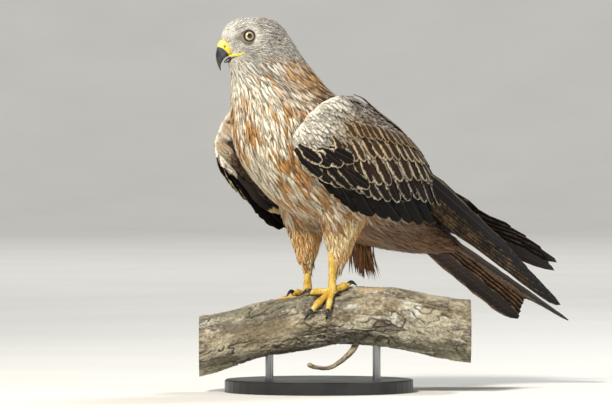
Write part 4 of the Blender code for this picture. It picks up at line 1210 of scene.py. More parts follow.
def feather_paths(
    roots: Roots, shares: Sequence[float], tree: BVHTree, normals: Array, sink: float
) -> tuple[Array, Array, Array]:
    """Lays each small feather along the skin.

    A feather steps ahead from its root; each step is drawn back to the nearest skin, its
    heading is kept square to the skin's normal, and the feather rises evenly to its tip.

    Args:
        roots: the feathers.
        shares: sections, as shares of the length.
        tree: search tree over the skin, in metres.
        normals: the skin's face normals, smoothed.
        sink: how deep a root lies under the skin.

    Returns:
        Middle line, side and normal at each section, as (feather, section, 3).
    """
    spot, heading = roots.place.copy(), roots.heading.copy()
    lines, sides, rises = [], [], []
    before = 0.0
    for share in shares:
        spot = spot + heading * ((share - before) * roots.length)[:, None]
        hits = [tree.find_nearest(Vector(p)) for p in spot * MM]
        index = np.array([hit[2] for hit in hits])
        spot = np.array([hit[0] for hit in hits]) / MM
        normal = normals[index]
        heading = squared(heading, normal)
        height = -sink + (roots.rise + sink) * share**0.75
        lines.append(spot + normal * height[:, None])
        sides.append(np.cross(normal, heading))
        rises.append(normal)
        before = share
    return np.stack(lines, 1), np.stack(sides, 1), np.stack(rises, 1)


def leaf_tubes(roots: Roots, leaf: Leaf, paths: tuple[Array, Array, Array]) -> tuple[Array, dict, dict]:
    """Shapes small feathers as closed blades of four-sided section: left, shaft, right, underside.

    Args:
        roots: the feathers, with their sizes and colours.
        leaf: their outline.
        paths: middle line, side and normal of each.

    Returns:
        Points (feather, section, 4, 3), UV maps and colours.
    """
    line, side, normal = paths
    widths = np.array(leaf.widths)[None, :] * roots.width[:, None] / 2
    ridge = leaf.thickness * (1.2 - 0.8 * np.array(leaf.shares))
    camber = 0.18 * widths
    left = line - side * widths[..., None] - normal * camber[..., None]
    right = line + side * widths[..., None] - normal * camber[..., None]
    top = line + normal * ridge[None, :, None]
    low = line - normal * (ridge[None, :, None] * 0.6)
    tubes = np.stack([left, top, right, low], axis=2)
    across = np.array([0.0, 0.5, 1.0, 0.5])
    shares = np.array(leaf.shares)
    count = len(roots.place)
    local = np.stack(np.broadcast_arrays(across[None, :], shares[:, None]), axis=-1)
    baking = roots.unwrap[:, None, None] + (local[None] - 0.5) * PATCH
    size_x = np.abs(across - 0.5)[None, None] * 2 * widths[..., None]
    size_y = shares[None, :, None] * roots.length[:, None, None]
    barbs = np.stack(np.broadcast_arrays(size_x, size_y), axis=-1) / 100
    amount = np.array([0.0, 1.0, 0.0, 0.6])[None, None] * (1 - shares[None, :, None] ** leaf.shaft * 0.75)
    amount = np.broadcast_to(amount, (count, len(shares), 4))
    colour = mix(roots.edge[:, None, None], roots.centre[:, None, None], amount)
    tipped = np.broadcast_to((shares[None, :, None]) ** 3 * 0.8, amount.shape)
    colour = mix(colour, roots.tip[:, None, None], tipped)
    marks = roots.shaft[:, None, None, None] * np.array([1.0, 0.0, 0.0]) * np.ones((count, len(shares), 4, 1))
    return tubes, {"OFBake": baking, "barbs": barbs}, {"plumage": colour, "marks": marks}


BROW = np.array([(15.0, -131.0, 449.5), (21.5, -106.0, 453.5)])


def from_brow(points: Array, drop: float = 0.0) -> Array:
    """Distance of each point from the nearer brow, a straight line lowered by the drop."""
    away = []
    for sign in (-1, 1):
        ends = BODY.head_turned((BROW - (0, 0, drop)) * (sign, 1, 1))
        line = ends[1] - ends[0]
        share = np.clip((points - ends[0]) @ line / (line @ line), 0, 1)
        away.append(np.linalg.norm(points - ends[0] - share[:, None] * line, axis=1))
    return np.minimum(*away)


@dataclass(frozen=True)
class BodyMarkings:
    """Colours of the body's plumage by place on it, with painted shade on the flanks, vent and rump and
    painted shadow along the brows, the same for the skin and for the coat.
    """

    head_pale: str = "#ece7dc"
    head_grey: str = "#c3bfb6"
    head_dark: str = "#857c70"
    head_streak: str = "#4b4239"
    lore: str = "#544d45"
    # brow: painted shadow of the brow ridge over the eye
    brow: str = "#3f3831"
    crown: str = "#b9a184"
    throat: str = "#97938a"
    cream: str = "#fbf2de"
    buff: str = "#efd3a4"
    golden: str = "#d9a35f"
    rufous: str = "#b97d40"
    streak: str = "#5b391f"
    mantle: str = "#2f2118"
    mantle_edge: str = "#94744e"
    belly: str = "#b87f45"
    # vent and rump: their own rufous brown, made darker still as painted shade under the wing
    vent: str = "#5d3921"
    rump: str = "#4a2d1b"
    # painted shade: the dark brown laid over the flanks, vent and rump under the wing
    dusk: str = "#50301a"

    @staticmethod
    def toward(
        coat: Sequence[Array], aims: Sequence[Array], share: Array, parts: Sequence[float] = (1, 1, 1)
    ) -> tuple[Array, ...]:
        """Edge, centre and tip, each mixed towards its aim by its part of the share."""
        return tuple(mix(now, aim, part * share) for now, aim, part in zip(coat, aims, parts))

    def paint(self, place: Array, angle: Array, points: Array, seed: int) -> tuple[Array, ...]:
        """Centre, edge and tip colours and shaft strengths of feathers at these places of the body.

        Each feather is cream, golden or dark by chance, weighted by a smooth field that is
        drawn out along the body, so that like feathers join into long streaks.

        Args:
            place: row of the body's table, from 0 at the crown.
            angle: turn from the bird's left to its back.
            points: the same places in space, for the streaks.
            seed: for the random choices.

        Returns:
            Three arrays of linear colours, and one of strengths from 0 to 1.
        """
        rng = np.random.default_rng(seed)
        count = len(place)
        c = SimpleNamespace(**{key: srgb(code) for key, code in vars(self).items()})
        front = -np.sin(angle)
        chance, second = rng.random(count), rng.random(count)
        # Breast: long streaks of cream and golden brown, with a dark feather here and there
        kind = fractal(points * (1.0, 1.0, 0.22), 8.5, 21, 2) + rng.normal(0, 0.17, count)
        pale, dark = ramp(kind, -0.2, 0.06), ramp(rng.random(count), 0.9, 0.96)
        low = ramp(place, 9.0, 12.5)
        warm = mix(c.golden, c.rufous, np.clip(0.25 + 0.5 * second + 0.25 * low, 0, 1))
        edge = mix(mix(warm, mix(c.cream, c.buff, 0.4 * chance + 0.25 * low), pale), c.rufous, 0.6 * dark)
        centre = mix(mix(warm, mix(c.cream, c.buff, 0.3), pale * 0.85), c.streak, 0.9 * dark)
        coat = edge, centre, mix(edge, c.cream, 0.25 * chance * (1 - dark))
        shaft = 0.05 + 0.7 * ramp(second, 0.78, 0.92)
        # Belly: plainer and warmer
        lower = ramp(place, 12.0, 13.6) * ramp(front, -0.3, 0.3)
        soft = mix(c.belly, c.buff, 0.45 * chance)
        coat = self.toward(coat, (soft, soft, soft), lower, (0.8, 0.8, 0.7))
        shaft = shaft * (1 - 0.7 * lower)
        # Neck: cream hackles, darker behind
        neck_edge = mix(c.cream, c.golden, ramp(chance + 0.7 * (0.5 - front), 0.55, 1.0))
        neck_edge = mix(neck_edge, c.throat, 0.55 * ramp(place, 5.9, 4.9) * ramp(front, -0.2, 0.5))
        neck_mid = mix(neck_edge, c.streak, 0.6 * ramp(second + 0.5 * (0.5 - front), 0.8, 1.2))
        coat = self.toward(coat, (neck_edge, neck_mid, neck_edge), ramp(place, 7.2, 5.6))
        # Head: grey-white, browner on the crown, with dark lores and ear patches, and a painted shadow along
        # the brows
        face = ramp(place, 5.2, 4.2)
        edge = mix(c.head_pale, c.head_grey, 0.7 * rng.random(count))
        brown = ramp(place, 2.4, 1.0) * ramp(fractal(points, 16.0, 33, 2), -0.35, 0.25)
        edge = mix(edge, c.crown, 0.65 * brown)
        edge = mix(edge, c.throat, 0.75 * ramp(place, 3.3, 4.2) * ramp(front, -0.1, 0.6))
        rear = ramp(-front, -0.35, 0.5)
        centre = mix(edge, c.head_dark, 0.5 * ramp(second, 0.6, 0.95) + 0.3 * brown)
        centre = mix(centre, c.head_streak, 0.85 * rear * ramp(second, 0.1, 0.5))
        edge = mix(edge, c.crown, 0.35 * rear * chance)
        straight = turned(points, BODY.pivot, UP, -BODY.head_yaw)
        straight[:, 0] = np.abs(straight[:, 0])
        lore = bump(np.linalg.norm((straight - (15.5, -129.5, 441.0)) * (1, 1, 1.25), axis=1), 0, 6.2)
        # The dark band along each brow is painted shadow of the brow ridge, not a marking.
        brow = bump(from_brow(points, -2.4), 0, 2.5)
        ear = bump(np.linalg.norm(straight - (22.0, -88.0, 436.0), axis=1), 0, 12.0)
        for colour, share in ((c.lore, 0.85 * lore), (c.brow, 0.9 * brow), (c.head_dark, 0.35 * ear)):
            edge, centre = mix(edge, colour, share), mix(centre, colour, share)
        coat = self.toward(coat, (edge, centre, edge), face)
        shaft = shaft * (1 - 0.75 * face * (1 - rear))
        # Back: dark brown with paler edges
        dorsal = ramp(-front, -0.02, 0.42) * ramp(place, 5.0, 7.2)
        edge = mix(c.mantle_edge, c.rufous, 0.6 * chance)
        coat = self.toward(coat, (edge, c.mantle, mix(edge, c.buff, 0.5 * second)), dorsal)
        # Flanks behind the legs, the vent and the rump: darkened as painted shade
        shade = ramp(place, 11.2, 13.6) * (0.5 + 0.5 * ramp(np.abs(np.cos(angle)), 0.2, 0.8))
        coat = self.toward(coat, (c.dusk, c.dusk, c.dusk), shade, (0.75, 0.9, 0.65))
        # The vent's and rump's colours are their own brown with painted shade added.
        under = mix(mix(c.vent, c.golden, 0.4 * chance), c.rump, ramp(-front, -0.2, 0.4))
        coat = self.toward(coat, (under, under * 0.75, under), ramp(place, 13.6, 15.0))
        tone = (1 + 0.10 * rng.normal(0, 1, count))[:, None]
        edge, centre, tip = (np.clip(colour * tone, 0, 1) for colour in coat)
        return centre, edge, tip, np.clip(shaft, 0, 1)


MARKINGS = BodyMarkings()


@dataclass
class Skin:
    """One closed skin under the coat: body, thighs and wing arms grown together."""

    body_inset: float = 3.0
    head_inset: float = 1.6
    wing_inset: float = 3.2
    muzzle_inset: float = 0.5
    voxel: float = 2.4
    smoothing: int = 6
    eye_centre: Array = table(17.8, -117.0, 443.7)

    def inset(self, place: Array) -> Array:
        """How far the skin lies inside the solids: less on the head than on the body."""
        return self.head_inset + (self.body_inset - self.head_inset) * ramp(place, 4.5, 7.0)

    def build(self, finish: DownFinish) -> bpy.types.Object:
        """Joins the closed forms, remeshes them as one, smooths the result and models the face."""
        blank = bpy.data.materials.new("blank")
        place = np.linspace(0.72, 17.0, 120)
        angle = circle(72)
        body = BODY.point(place[:, None], angle[None], -self.inset(place)[:, None])
        parts = [lofted("skin", body, blank)]
        rings, _ = Head.sections(Head().upper, np.linspace(0.0, Head.bare_from, 16), 32, 2.2)
        centre = rings.mean(axis=1, keepdims=True)
        rings = centre + (rings - centre) * (1 - self.muzzle_inset / 8.5)
        parts.append(lofted("part", BODY.head_turned(rings), blank))
        for side in Side:
            leg, wing = LegShape(side), WingShape(side)
            rows = np.linspace(0, 4.6, 30)[:, None]
            parts.append(lofted("part", leg.point(rows, angle[None, ::3], -self.body_inset * 0.8), blank))
            parts.append(lofted("part", wing.core_rings(self.wing_inset), blank))
        skin = self._joined(parts)
        remesh = skin.modifiers.new("one_skin", "REMESH")
        remesh.mode = "VOXEL"
        remesh.voxel_size = self.voxel * MM
        smooth = skin.modifiers.new("smooth", "SMOOTH")
        smooth.factor, smooth.iterations = 0.5, self.smoothing
        graph = bpy.context.evaluated_depsgraph_get()
        mesh = bpy.data.meshes.new_from_object(skin.evaluated_get(graph), depsgraph=graph)
        skin.modifiers.clear()
        skin.data = mesh
        mesh.materials.clear()
        mesh.materials.append(finish.make())
        mesh.shade_smooth()
        self._model_face(mesh)
        return skin

    @staticmethod
    def _joined(parts: list[bpy.types.Object]) -> bpy.types.Object:
        """Joins the objects' meshes into the first."""
        first = parts[0]
        points, faces, offset = [], [], 0
        for part in parts:
            mesh = part.data
            points += [tuple(v.co) for v in mesh.vertices]
            faces += [tuple(i + offset for i in p.vertices) for p in mesh.polygons]
            offset += len(mesh.vertices)
        joined = bpy.data.meshes.new("skin")
        joined.from_pydata(points, [], faces)
        first.data = joined
        for part in parts[1:]:
            bpy.data.objects.remove(part, do_unlink=True)
        return first

    def _model_face(self, mesh: bpy.types.Mesh) -> None:
        """Raises the brow over each eye and sinks a shallow socket round it.

        Each is a bell-shaped push along the skin's normal by distance from its centre.
        """
        count = len(mesh.vertices)
        points, normals = np.empty(count * 3), np.empty(count * 3)
        mesh.vertices.foreach_get("co", points)
        mesh.vertices.foreach_get("normal", normals)
        points, normals = points.reshape(-1, 3) / MM, normals.reshape(-1, 3)
        push = np.zeros(count)
        for sign in (-1, 1):
            eye = BODY.head_turned(self.eye_centre * (sign, 1, 1) + (sign * 5.0, 0, 0))
            push -= 2.2 * bump(np.linalg.norm(points - eye, axis=1), 0, 8.5)
        push += 2.6 * bump(from_brow(points), 0, 4.6)
        mesh.vertices.foreach_set("co", ((points + normals * push[:, None]) * MM).astype(np.float32).ravel())
        mesh.update()


@dataclass
class Coat:
    """Small feathers over the skin, zone by zone, lying along the body."""

    skin: bpy.types.Object
    bill_tree: BVHTree
    eye_centre: Array
    eye_clear: float = 8.1
    highest: float = float(CAD_BOX[1][2]) / MM - 0.08
    roots_seen: list = field(default_factory=list)

    def __post_init__(self) -> None:
        """Reads the skin once: its search tree and its smoothed face normals."""
        mesh = self.skin.data
        self.tree = tree_of(self.skin)
        normals = np.empty(len(mesh.vertices) * 3)
        mesh.vertices.foreach_get("normal", normals)
        normals = normals.reshape(-1, 3)
        sizes = np.empty(len(mesh.polygons), np.int32)
        mesh.polygons.foreach_get("loop_total", sizes)
        corners = np.empty(len(mesh.loops), np.int32)
        mesh.loops.foreach_get("vertex_index", corners)
        owner = np.repeat(np.arange(len(sizes)), sizes)
        total = np.zeros((len(sizes), 3))
        np.add.at(total, owner, normals[corners])
        self.normals = unit(total)
        self.finish = SmallFeatherFinish().make()

    def snapped(self, points: Array, reach: float) -> tuple[Array, Array, Array]:
        """The nearest skin to each point: place, normal, and whether it is within reach."""
        hits = [self.tree.find_nearest(Vector(p)) for p in points * MM]
        spot = np.array([hit[0] for hit in hits]) / MM
        normal = self.normals[[hit[2] for hit in hits]]
        near = np.linalg.norm(spot - points, axis=1) < reach
        return spot, normal, near

    def muzzle_roots(self, head: "Head", count: int = 1500, seed: int = 471) -> Roots:
        """Roots of the shortest feathers, over the back of the cere, pointing away from the bill."""
        rng = np.random.default_rng(seed)
        rings, _ = head.sections(head.upper, np.linspace(0.0, head.bare_from, 24), 64, 2.2)
        spots = BODY.head_turned(rings)[rng.integers(2, 24, count), rng.integers(0, 64, count)]
        spot, normal, near = self.snapped(spots + rng.normal(0, 0.4, (count, 3)), 3.0)
        near &= normal @ UP > -0.45
        tip = BODY.head_turned(np.array([0.0, -158.0, 425.0]))
        heading = squared(unit(unit(spot - tip) + rng.normal(0, 0.2, (count, 3))), normal)
        chance = rng.random(count)
        colour = mix(srgb("#ece8de"), srgb("#8d867b"), 0.8 * ramp(chance, 0.55, 1.0))
        return Roots(
            place=spot,
            heading=heading,
            unwrap=np.stack([0.55 + 0.1 * rng.random(count), 0.96 + 0.02 * chance], axis=1),
            length=rng.uniform(3.5, 5.5, count),
            width=rng.uniform(0.9, 1.5, count),
            rise=rng.uniform(0.5, 1.0, count),
            centre=colour,
            edge=colour,
            tip=colour,
            shaft=0.2 * chance,
        ).only(near)

    def clear_of_face(self, points: Array) -> Array:
        """Whether each point keeps clear of the eyes and of the bill with its bare cere."""
        clear = np.ones(len(points), bool)
        for sign in (-1, 1):
            centre = BODY.head_turned(self.eye_centre * (sign, 1, 1))
            axis = unit(BODY.head_turned((self.eye_centre + (10.0, -1.5, 0.5)) * (sign, 1, 1)) - centre)
            offset = points - centre
            along = offset @ axis
            away = np.linalg.norm(offset - along[:, None] * axis, axis=1)
            clear &= (away > self.eye_clear) | (along < 0)
        near = [self.bill_tree.find_nearest(Vector(p), 0.0012)[0] is None for p in points * MM]
        return clear & np.array(near)

    def grow(self, name: str, roots: Roots, leaf: Leaf, sink: float = 0.8) -> bpy.types.Object:
        """Builds one coat piece from its roots."""
        paths = feather_paths(roots, leaf.shares, self.tree, self.normals, sink)
        tubes, maps, colours = leaf_tubes(roots, leaf, paths)
        tubes[..., 2] = np.minimum(tubes[..., 2], self.highest)
        piece = many_tubes(name, tubes, self.finish, maps, colours)
        self.roots_seen.append((roots.place, mix(roots.edge, roots.centre, 0.4 * np.ones(len(roots.place)))))
        return piece

    def hang(self, name: str, roots: Roots, leaf: Leaf, sway: float) -> bpy.types.Object:
        """Builds feathers that hang free from the skin, bending back by the square of the way down."""
        share = np.array(leaf.shares)[None, :, None]
        line = roots.place[:, None] + roots.heading[:, None] * share * roots.length[:, None, None]
        line[..., 1] += sway * share[..., 0] ** 2 * roots.rise[:, None]
        ahead = unit(np.gradient(line, axis=1))
        around = unit(roots.place * (1, 1, 0) - roots.place.mean(axis=0) * (1, 1, 0))[:, None] + 0 * line
        side = unit(np.cross(around, ahead))
        tubes, maps, colours = leaf_tubes(roots, leaf, (line, side, np.cross(ahead, side)))
        return many_tubes(name, tubes, self.finish, maps, colours)

    def body_roots(self, zone: Zone) -> Roots:
        """Roots over a zone of the body.

        On the head the feathers point away from the bill and then down the neck; elsewhere
        they follow the body towards the tail.
        """
        turns = tuple(math.radians(angle) for angle in zone.degrees)
        closed = zone.degrees == ALL_ROUND
        skin_at = lambda row, turn: BODY.point(row, turn, -2.5)
        u, v = scatter(skin_at, zone.rows, turns, zone.pitch, zone.seed, closed)
        rng = np.random.default_rng(zone.seed + 1)
        spot, normal, near = self.snapped(BODY.point(u, v, -Skin().inset(u)), 2.6)
        ahead = unit(BODY.point(u + 0.05, v, -2.5) - BODY.point(u - 0.05, v, -2.5))
        away = spot - BODY.head_turned(np.array([0.0, -150.0, 432.0]))
        droop = 0.15 + 0.9 * ramp(np.linalg.norm(away, axis=1), 35, 95)
        heading = mix(unit(unit(away) - UP * droop[:, None]), ahead, ramp(u, 4.0, 6.0))
        heading = unit(heading + np.cross(normal, heading) * rng.normal(0, 0.13, len(u))[:, None])
        centre, edge, tip, shaft = MARKINGS.paint(u, v, spot, zone.seed + 2)
        turn = (v % (2 * math.pi)) / (2 * math.pi)
        return Roots(
            place=spot,
            heading=squared(heading, normal),
            unwrap=np.stack([0.01 + 0.48 * turn, 0.01 + 0.98 * u / len(BODY.stations)], axis=1),
            length=rng.uniform(*zone.length, len(u)),
            width=zone.width * rng.uniform(0.8, 1.2, len(u)),
            rise=zone.rise * rng.uniform(0.6, 1.3, len(u)) * (0.35 + 0.65 * ramp(u, 0.5, 2.0)),
            centre=centre,
            edge=edge,
            tip=tip,
            shaft=shaft,
        ).only(near)


@dataclass(frozen=True)
class Tier:
    """One tier of a wing's large feathers.

    Tips run from first to last as distance along the wing and degrees round it. Lengths and
    widths are first and last, and swing turns the feathers below the wing's axis.
    """

    name: str
    tips: tuple[tuple[float, float], ...]
    lengths: tuple[float, float]
    widths: tuple[float, float]
    swing: float
    rise: float
    count: int
    web: str
    fringe: str
    fringe_width: float
    bars: float = 0.0
    point: float = 2.6


WING_TIERS = (
    Tier("secondaries", ((10, -36), (50, -31), (92, -17), (133, -5), (170, 4), (205, 27), (228, 56)),
         (78, 122), (26, 31), 12, -1.8, 14, "#0d0a08", "#2e251f", 0.08),
    Tier("greater_coverts", ((2, -27), (50, -13), (98, 0), (146, 14), (194, 50)),
         (56, 78), (19, 24), 17, 1.2, 15, "#1b130e", "#c6bba8", 0.2),
    Tier("median_coverts_low", ((-14, -19), (26, -8), (70, 3), (114, 24), (156, 60)),
         (40, 50), (16, 20), 17, 2.6, 15, "#2a1d15", "#b9aa90", 0.36),
    Tier("median_coverts", ((-24, -10), (10, 0), (50, 12), (90, 32), (128, 62)),
         (32, 40), (13, 17), 17, 3.6, 15, "#36261b", "#b8a583", 0.42),
    Tier("median_coverts_top", ((-24, 2), (6, 12), (44, 25), (80, 44), (112, 64)),
         (26, 32), (11, 14), 17, 4.2, 15, "#3d2b1e", "#9f8862", 0.42),
    Tier("primary_coverts", ((-30, -38), (-5, -32), (14, -21), (31, -11)),
         (50, 64), (17, 20), 0, 4.0, 6, "#110c09", "#dcc9a8", 0.17),
    Tier("alula", ((-46, -27), (-26, -19), (-10, -6)),
         (34, 44), (17, 20), -10, 5.2, 4, "#120c09", "#efdfc0", 0.24),
    Tier("scapulars", ((12, 52), (56, 56), (102, 60), (146, 63), (184, 65)),
         (46, 62), (18, 24), 9, 2.6, 11, "#2c1f16", "#b08f63", 0.24),
)


class Vanes(NamedTuple):
    """Large feathers between their edges, as (feather, section, 3), with each one's size."""

    left: Array
    right: Array
    normal: Array
    length: Array
    half: Array


def vane_marks(shape: tuple[int, ...], fringe: float, bars: float, tip_share: Array) -> Array:
    """Fringe width, bar strength and the tip's share of the length, at every point of the feathers."""
    return np.stack(np.broadcast_arrays(fringe, bars, tip_share[:, None, None] * np.ones(shape)), axis=-1)


@dataclass
class Wing:
    """A folded wing's large feathers in tiers, with its primaries fanned past the tail's root."""

    side: str
    shape: WingShape = field(init=False)
    sections: int = 15
    across: tuple[float, ...] = (-1.0, -0.72, -0.4, -0.1, 0.0, 0.1, 0.4, 0.72, 1.0)
    thickness: float = 0.34
    tilt: float = 0.07
    sink: float = 3.0
    primary_ends: dict = per_side(
        (408.0, 387.0, 366.0, 345.0, 325.0, 304.0), (413.0, 397.0, 403.0, 372.0, 341.0, 312.0)
    )
    primary_tip: dict = per_side((408.0, 47.0, 69.5), (413.0, 70.0, 58.0))
    primary_step: dict = per_side(4.2, 7.5)
    primary_root: tuple[float, float, float] = (80.0, math.radians(8.0), -8.5)
    primary_layer: float = 1.0
    primary_width: dict = per_side(27.0, 31.0)
    primary_point: dict = per_side(6.0, 3.4)
    tip_normal: dict = per_side((0.85, 0.0, 0.53), (0.42, 0.0, 0.91))
    primary_look: dict = per_side(("#15110e", "#806547", 0.1, 0.0), ("#2b2420", "#7c6c5a", 0.07, 0.0))

    def __post_init__(self) -> None:
        """Takes the shape of this side's wing."""
        self.shape = WingShape(self.side)

    def outline(self, point: float, narrow: float = 0.32) -> tuple[Array, Array]:
        """Shares of a large feather's length and the half width at each.

        The width grows from the quill to the middle, then falls to a rounded or pointed tip:
        the root of one minus how far past the middle it is, raised to a power.
        """
        shares = 1 - (1 - np.linspace(0, 1, self.sections)) ** 1.35
        grown = narrow + (1 - narrow) * ramp(shares, 0.0, 0.4)
        past = np.clip((shares - 0.45) / 0.55, 0, 1)
        return shares, grown * np.maximum(1 - past**point, 0.0) ** 0.5 + 0.03

    def shell_frame(self, middle: Array, lift: Array, half: Array) -> tuple[Array, Array, Array]:
        """Left edge, right edge and normals of feathers that follow the shell."""
        surface = self.shape.onto(middle, lift)
        normal = self.shape.normal(surface)
        ahead = np.gradient(surface, axis=-2)
        side = unit(np.cross(ahead, normal))
        left = self.shape.onto(surface - side * half[..., None], lift - self.tilt * half)
        right = self.shape.onto(surface + side * half[..., None], lift + self.tilt * half)
        return left, right, normal

    def tier(self, tier: Tier, seed: int) -> Vanes:
        """Edges, normals, lengths and half widths of one tier's feathers."""
        rng = np.random.default_rng(seed)
        swing = math.radians(tier.swing)
        places = through(np.array(tier.tips, float), np.linspace(0, len(tier.tips) - 1, tier.count))
        share = np.linspace(0, 1, tier.count)
        shares, outline = self.outline(tier.point)
        length = tier.lengths[0] + (tier.lengths[1] - tier.lengths[0]) * share
        length = length * rng.uniform(0.92, 1.06, tier.count)
        half = (tier.widths[0] + (tier.widths[1] - tier.widths[0]) * share) / 2
        turn = swing + rng.normal(0, 0.06, tier.count)
        tip = self.shape.shell(places[:, 0], np.radians(places[:, 1]))
        normal = self.shape.normal(tip)
        ahead = unit(self.shape.along - normal * (normal @ self.shape.along)[:, None])
        heading = np.cos(turn)[:, None] * ahead + np.sin(turn)[:, None] * np.cross(ahead, normal)
        back = (1 - shares)[None, :] * length[:, None]
        middle = tip[:, None] - back[..., None] * heading[:, None]
        lift = tier.rise - 0.35 * abs(tier.rise) * (1 - shares)
        lift = np.where(shares < 0.3, -self.sink + (lift + self.sink) * ramp(shares, -0.1, 0.3), lift)
        lift = lift[None] + rng.normal(0, 0.15, tier.count)[:, None]
        left, right, normal = self.shell_frame(middle, lift, outline[None] * half[:, None])
        return Vanes(left, right, normal, length, half)

    def primaries(self) -> Vanes:
        """The folded primaries, each above and inside the one before, along a bent line."""
        shape = self.shape
        axes = np.array([(1.0, 0.0, 0.0), shape.along, shape.out])
        root = shape.shell(*self.primary_root)
        end, across, out = self.primary_tip[self.side]
        tip = shape.origin + end * shape.along + out * shape.out + (across, 0, 0)
        halfway = (root + tip) / 2
        halfway = (halfway + shape.onto(halfway[None], np.array([-3.0]))[0]) / 2
        shares, outline = self.outline(self.primary_point[self.side], 0.45)
        stops = np.array(self.primary_ends[self.side])
        number = np.arange(len(stops))[:, None, None]
        s = (shares[None] * (stops[:, None] - self.primary_root[0]) / (end - self.primary_root[0]))[..., None]
        middle = root * (2 * s**2 - 3 * s + 1) + halfway * (4 * s - 4 * s**2) + tip * (2 * s**2 - s)
        twist = np.clip((s - 0.15) / 0.4, 0, 1)
        normal = (1 - twist) * shape.normal(middle) + twist * (np.array(self.tip_normal[self.side]) @ axes)
        cross = unit(np.cross(np.gradient(middle, axis=1), normal))
        middle = middle - number * self.primary_step[self.side] * cross + number * self.primary_layer * normal
        half = np.full(len(stops), self.primary_width[self.side] / 2)
        edge = outline[None, :, None] * half[:, None, None]
        length = stops - self.primary_root[0]
        return Vanes(middle - cross * edge, middle + cross * edge, unit(normal), length, half)

    def tubes(self, left: Array, right: Array, normal: Array, seed: int) -> Array:
        """Closed cross sections of feathers between their edges.

        A section rises a little towards the shaft, which stands out as a thin rib on both faces,
        and the edges wave slightly where the barbs part.
        """
        rng = np.random.default_rng(seed)
        count, sections = left.shape[:2]
        across = np.array(self.across)
        share = (across + 1) / 2
        wave = rng.normal(0, 0.035, (count, sections, len(across))) * np.abs(across) ** 3
        share = share[None, None] + wave
        middle = left[:, :, None] * (1 - share[..., None]) + right[:, :, None] * share[..., None]
        width = np.linalg.norm(right - left, axis=-1)[:, :, None]
        camber = 0.05 * width * (1 - across**2)[None, None]
        body = self.thickness * (1 - 0.75 * np.abs(across)) / 2
        rib = 0.45 * (across == 0.0) + 0.1 * (np.abs(across) == 0.1)
        fade = np.linspace(1, 0.25, sections)[None, :, None]
        up = (camber + (body + rib)[None, None] * fade)[..., None] * normal[:, :, None]
        down = (camber - (body + 0.6 * rib)[None, None] * fade)[..., None] * normal[:, :, None]
        return np.concatenate([middle + up, (middle + down)[:, :, ::-1][:, :, 1:-1]], axis=2)

    def maps(self, length: Array, half: Array, shares: Array, unwrap: Array) -> dict[str, Array]:
        """UV maps of large feathers: share across and along, the same in size, and the bake patch."""
        across = np.array(self.across + self.across[-2:0:-1])
        every = np.zeros((len(length), 1, 1))
        x, y, _ = np.broadcast_arrays(across[None, None], shares[None, :, None], every)
        vane = np.stack([(x + 1) / 2, y], axis=-1)
        barbs = np.stack([np.abs(x) * half[:, None, None], y * length[:, None, None]], axis=-1) / 100
        return {"OFBake": unwrap[:, None, None] + (vane - 0.5) * PATCH, "vane": vane, "barbs": barbs}

    def build(self, finish: bpy.types.Material) -> list[bpy.types.Object]:
        """Builds every tier as one piece of its own, and the primaries last."""
        tiers = [
            (tier.name, self.tier(tier, 100 + number), (tier.web, tier.fringe, tier.fringe_width, tier.bars))
            for number, tier in enumerate(WING_TIERS)
        ]
        tiers.append(("primaries", self.primaries(), self.primary_look[self.side]))
        seeds = [*range(200, 200 + len(WING_TIERS)), 300]
        rows = [*(0.02 * number for number in range(len(WING_TIERS))), 0.2]
        corner = np.array([UNWRAP_START["left"], 0.02 if self.side == "left" else 0.27])
        made = []
        for (name, vanes, look), seed, row in zip(tiers, seeds, rows):
            count = len(vanes.length)
            unwrap = corner + np.stack([np.linspace(0.0, 0.4, count), np.full(count, row)], axis=1)
            made.append(self._piece(name, vanes, unwrap, finish, look, seed))
        return made

    def _piece(
        self, name: str, vanes: Vanes, unwrap: Array, finish: bpy.types.Material,
        look: tuple[str, str, float, float], seed: int,
    ) -> bpy.types.Object:
        """One tier's object with its colours: each feather's web and fringe vary a little in tone."""
        web, fringe, fringe_width, bars = look
        rng = np.random.default_rng(seed)
        tubes = self.shape.place(self.tubes(vanes.left, vanes.right, vanes.normal, seed + 50))
        count, sections, ring = shape = tubes.shape[:3]
        tone = rng.normal(1.0, 0.2, count)[:, None, None, None]
        fringe_tone = rng.normal(0.95, 0.14, count)[:, None, None, None]
        colours = {
            "web": np.clip(srgb(web) * tone, 0, 1) * np.ones((*shape, 3)),
            "fringe": np.clip(srgb(fringe) * fringe_tone, 0, 1) * np.ones((*shape, 3)),
            "marks": vane_marks(shape, fringe_width, bars, 0.7 * vanes.half / vanes.length),
        }
        maps = self.maps(vanes.length, vanes.half, self.outline(2.0)[0], unwrap)
        return many_tubes(f"wing_{self.side}_{name}", tubes, finish, maps, colours)


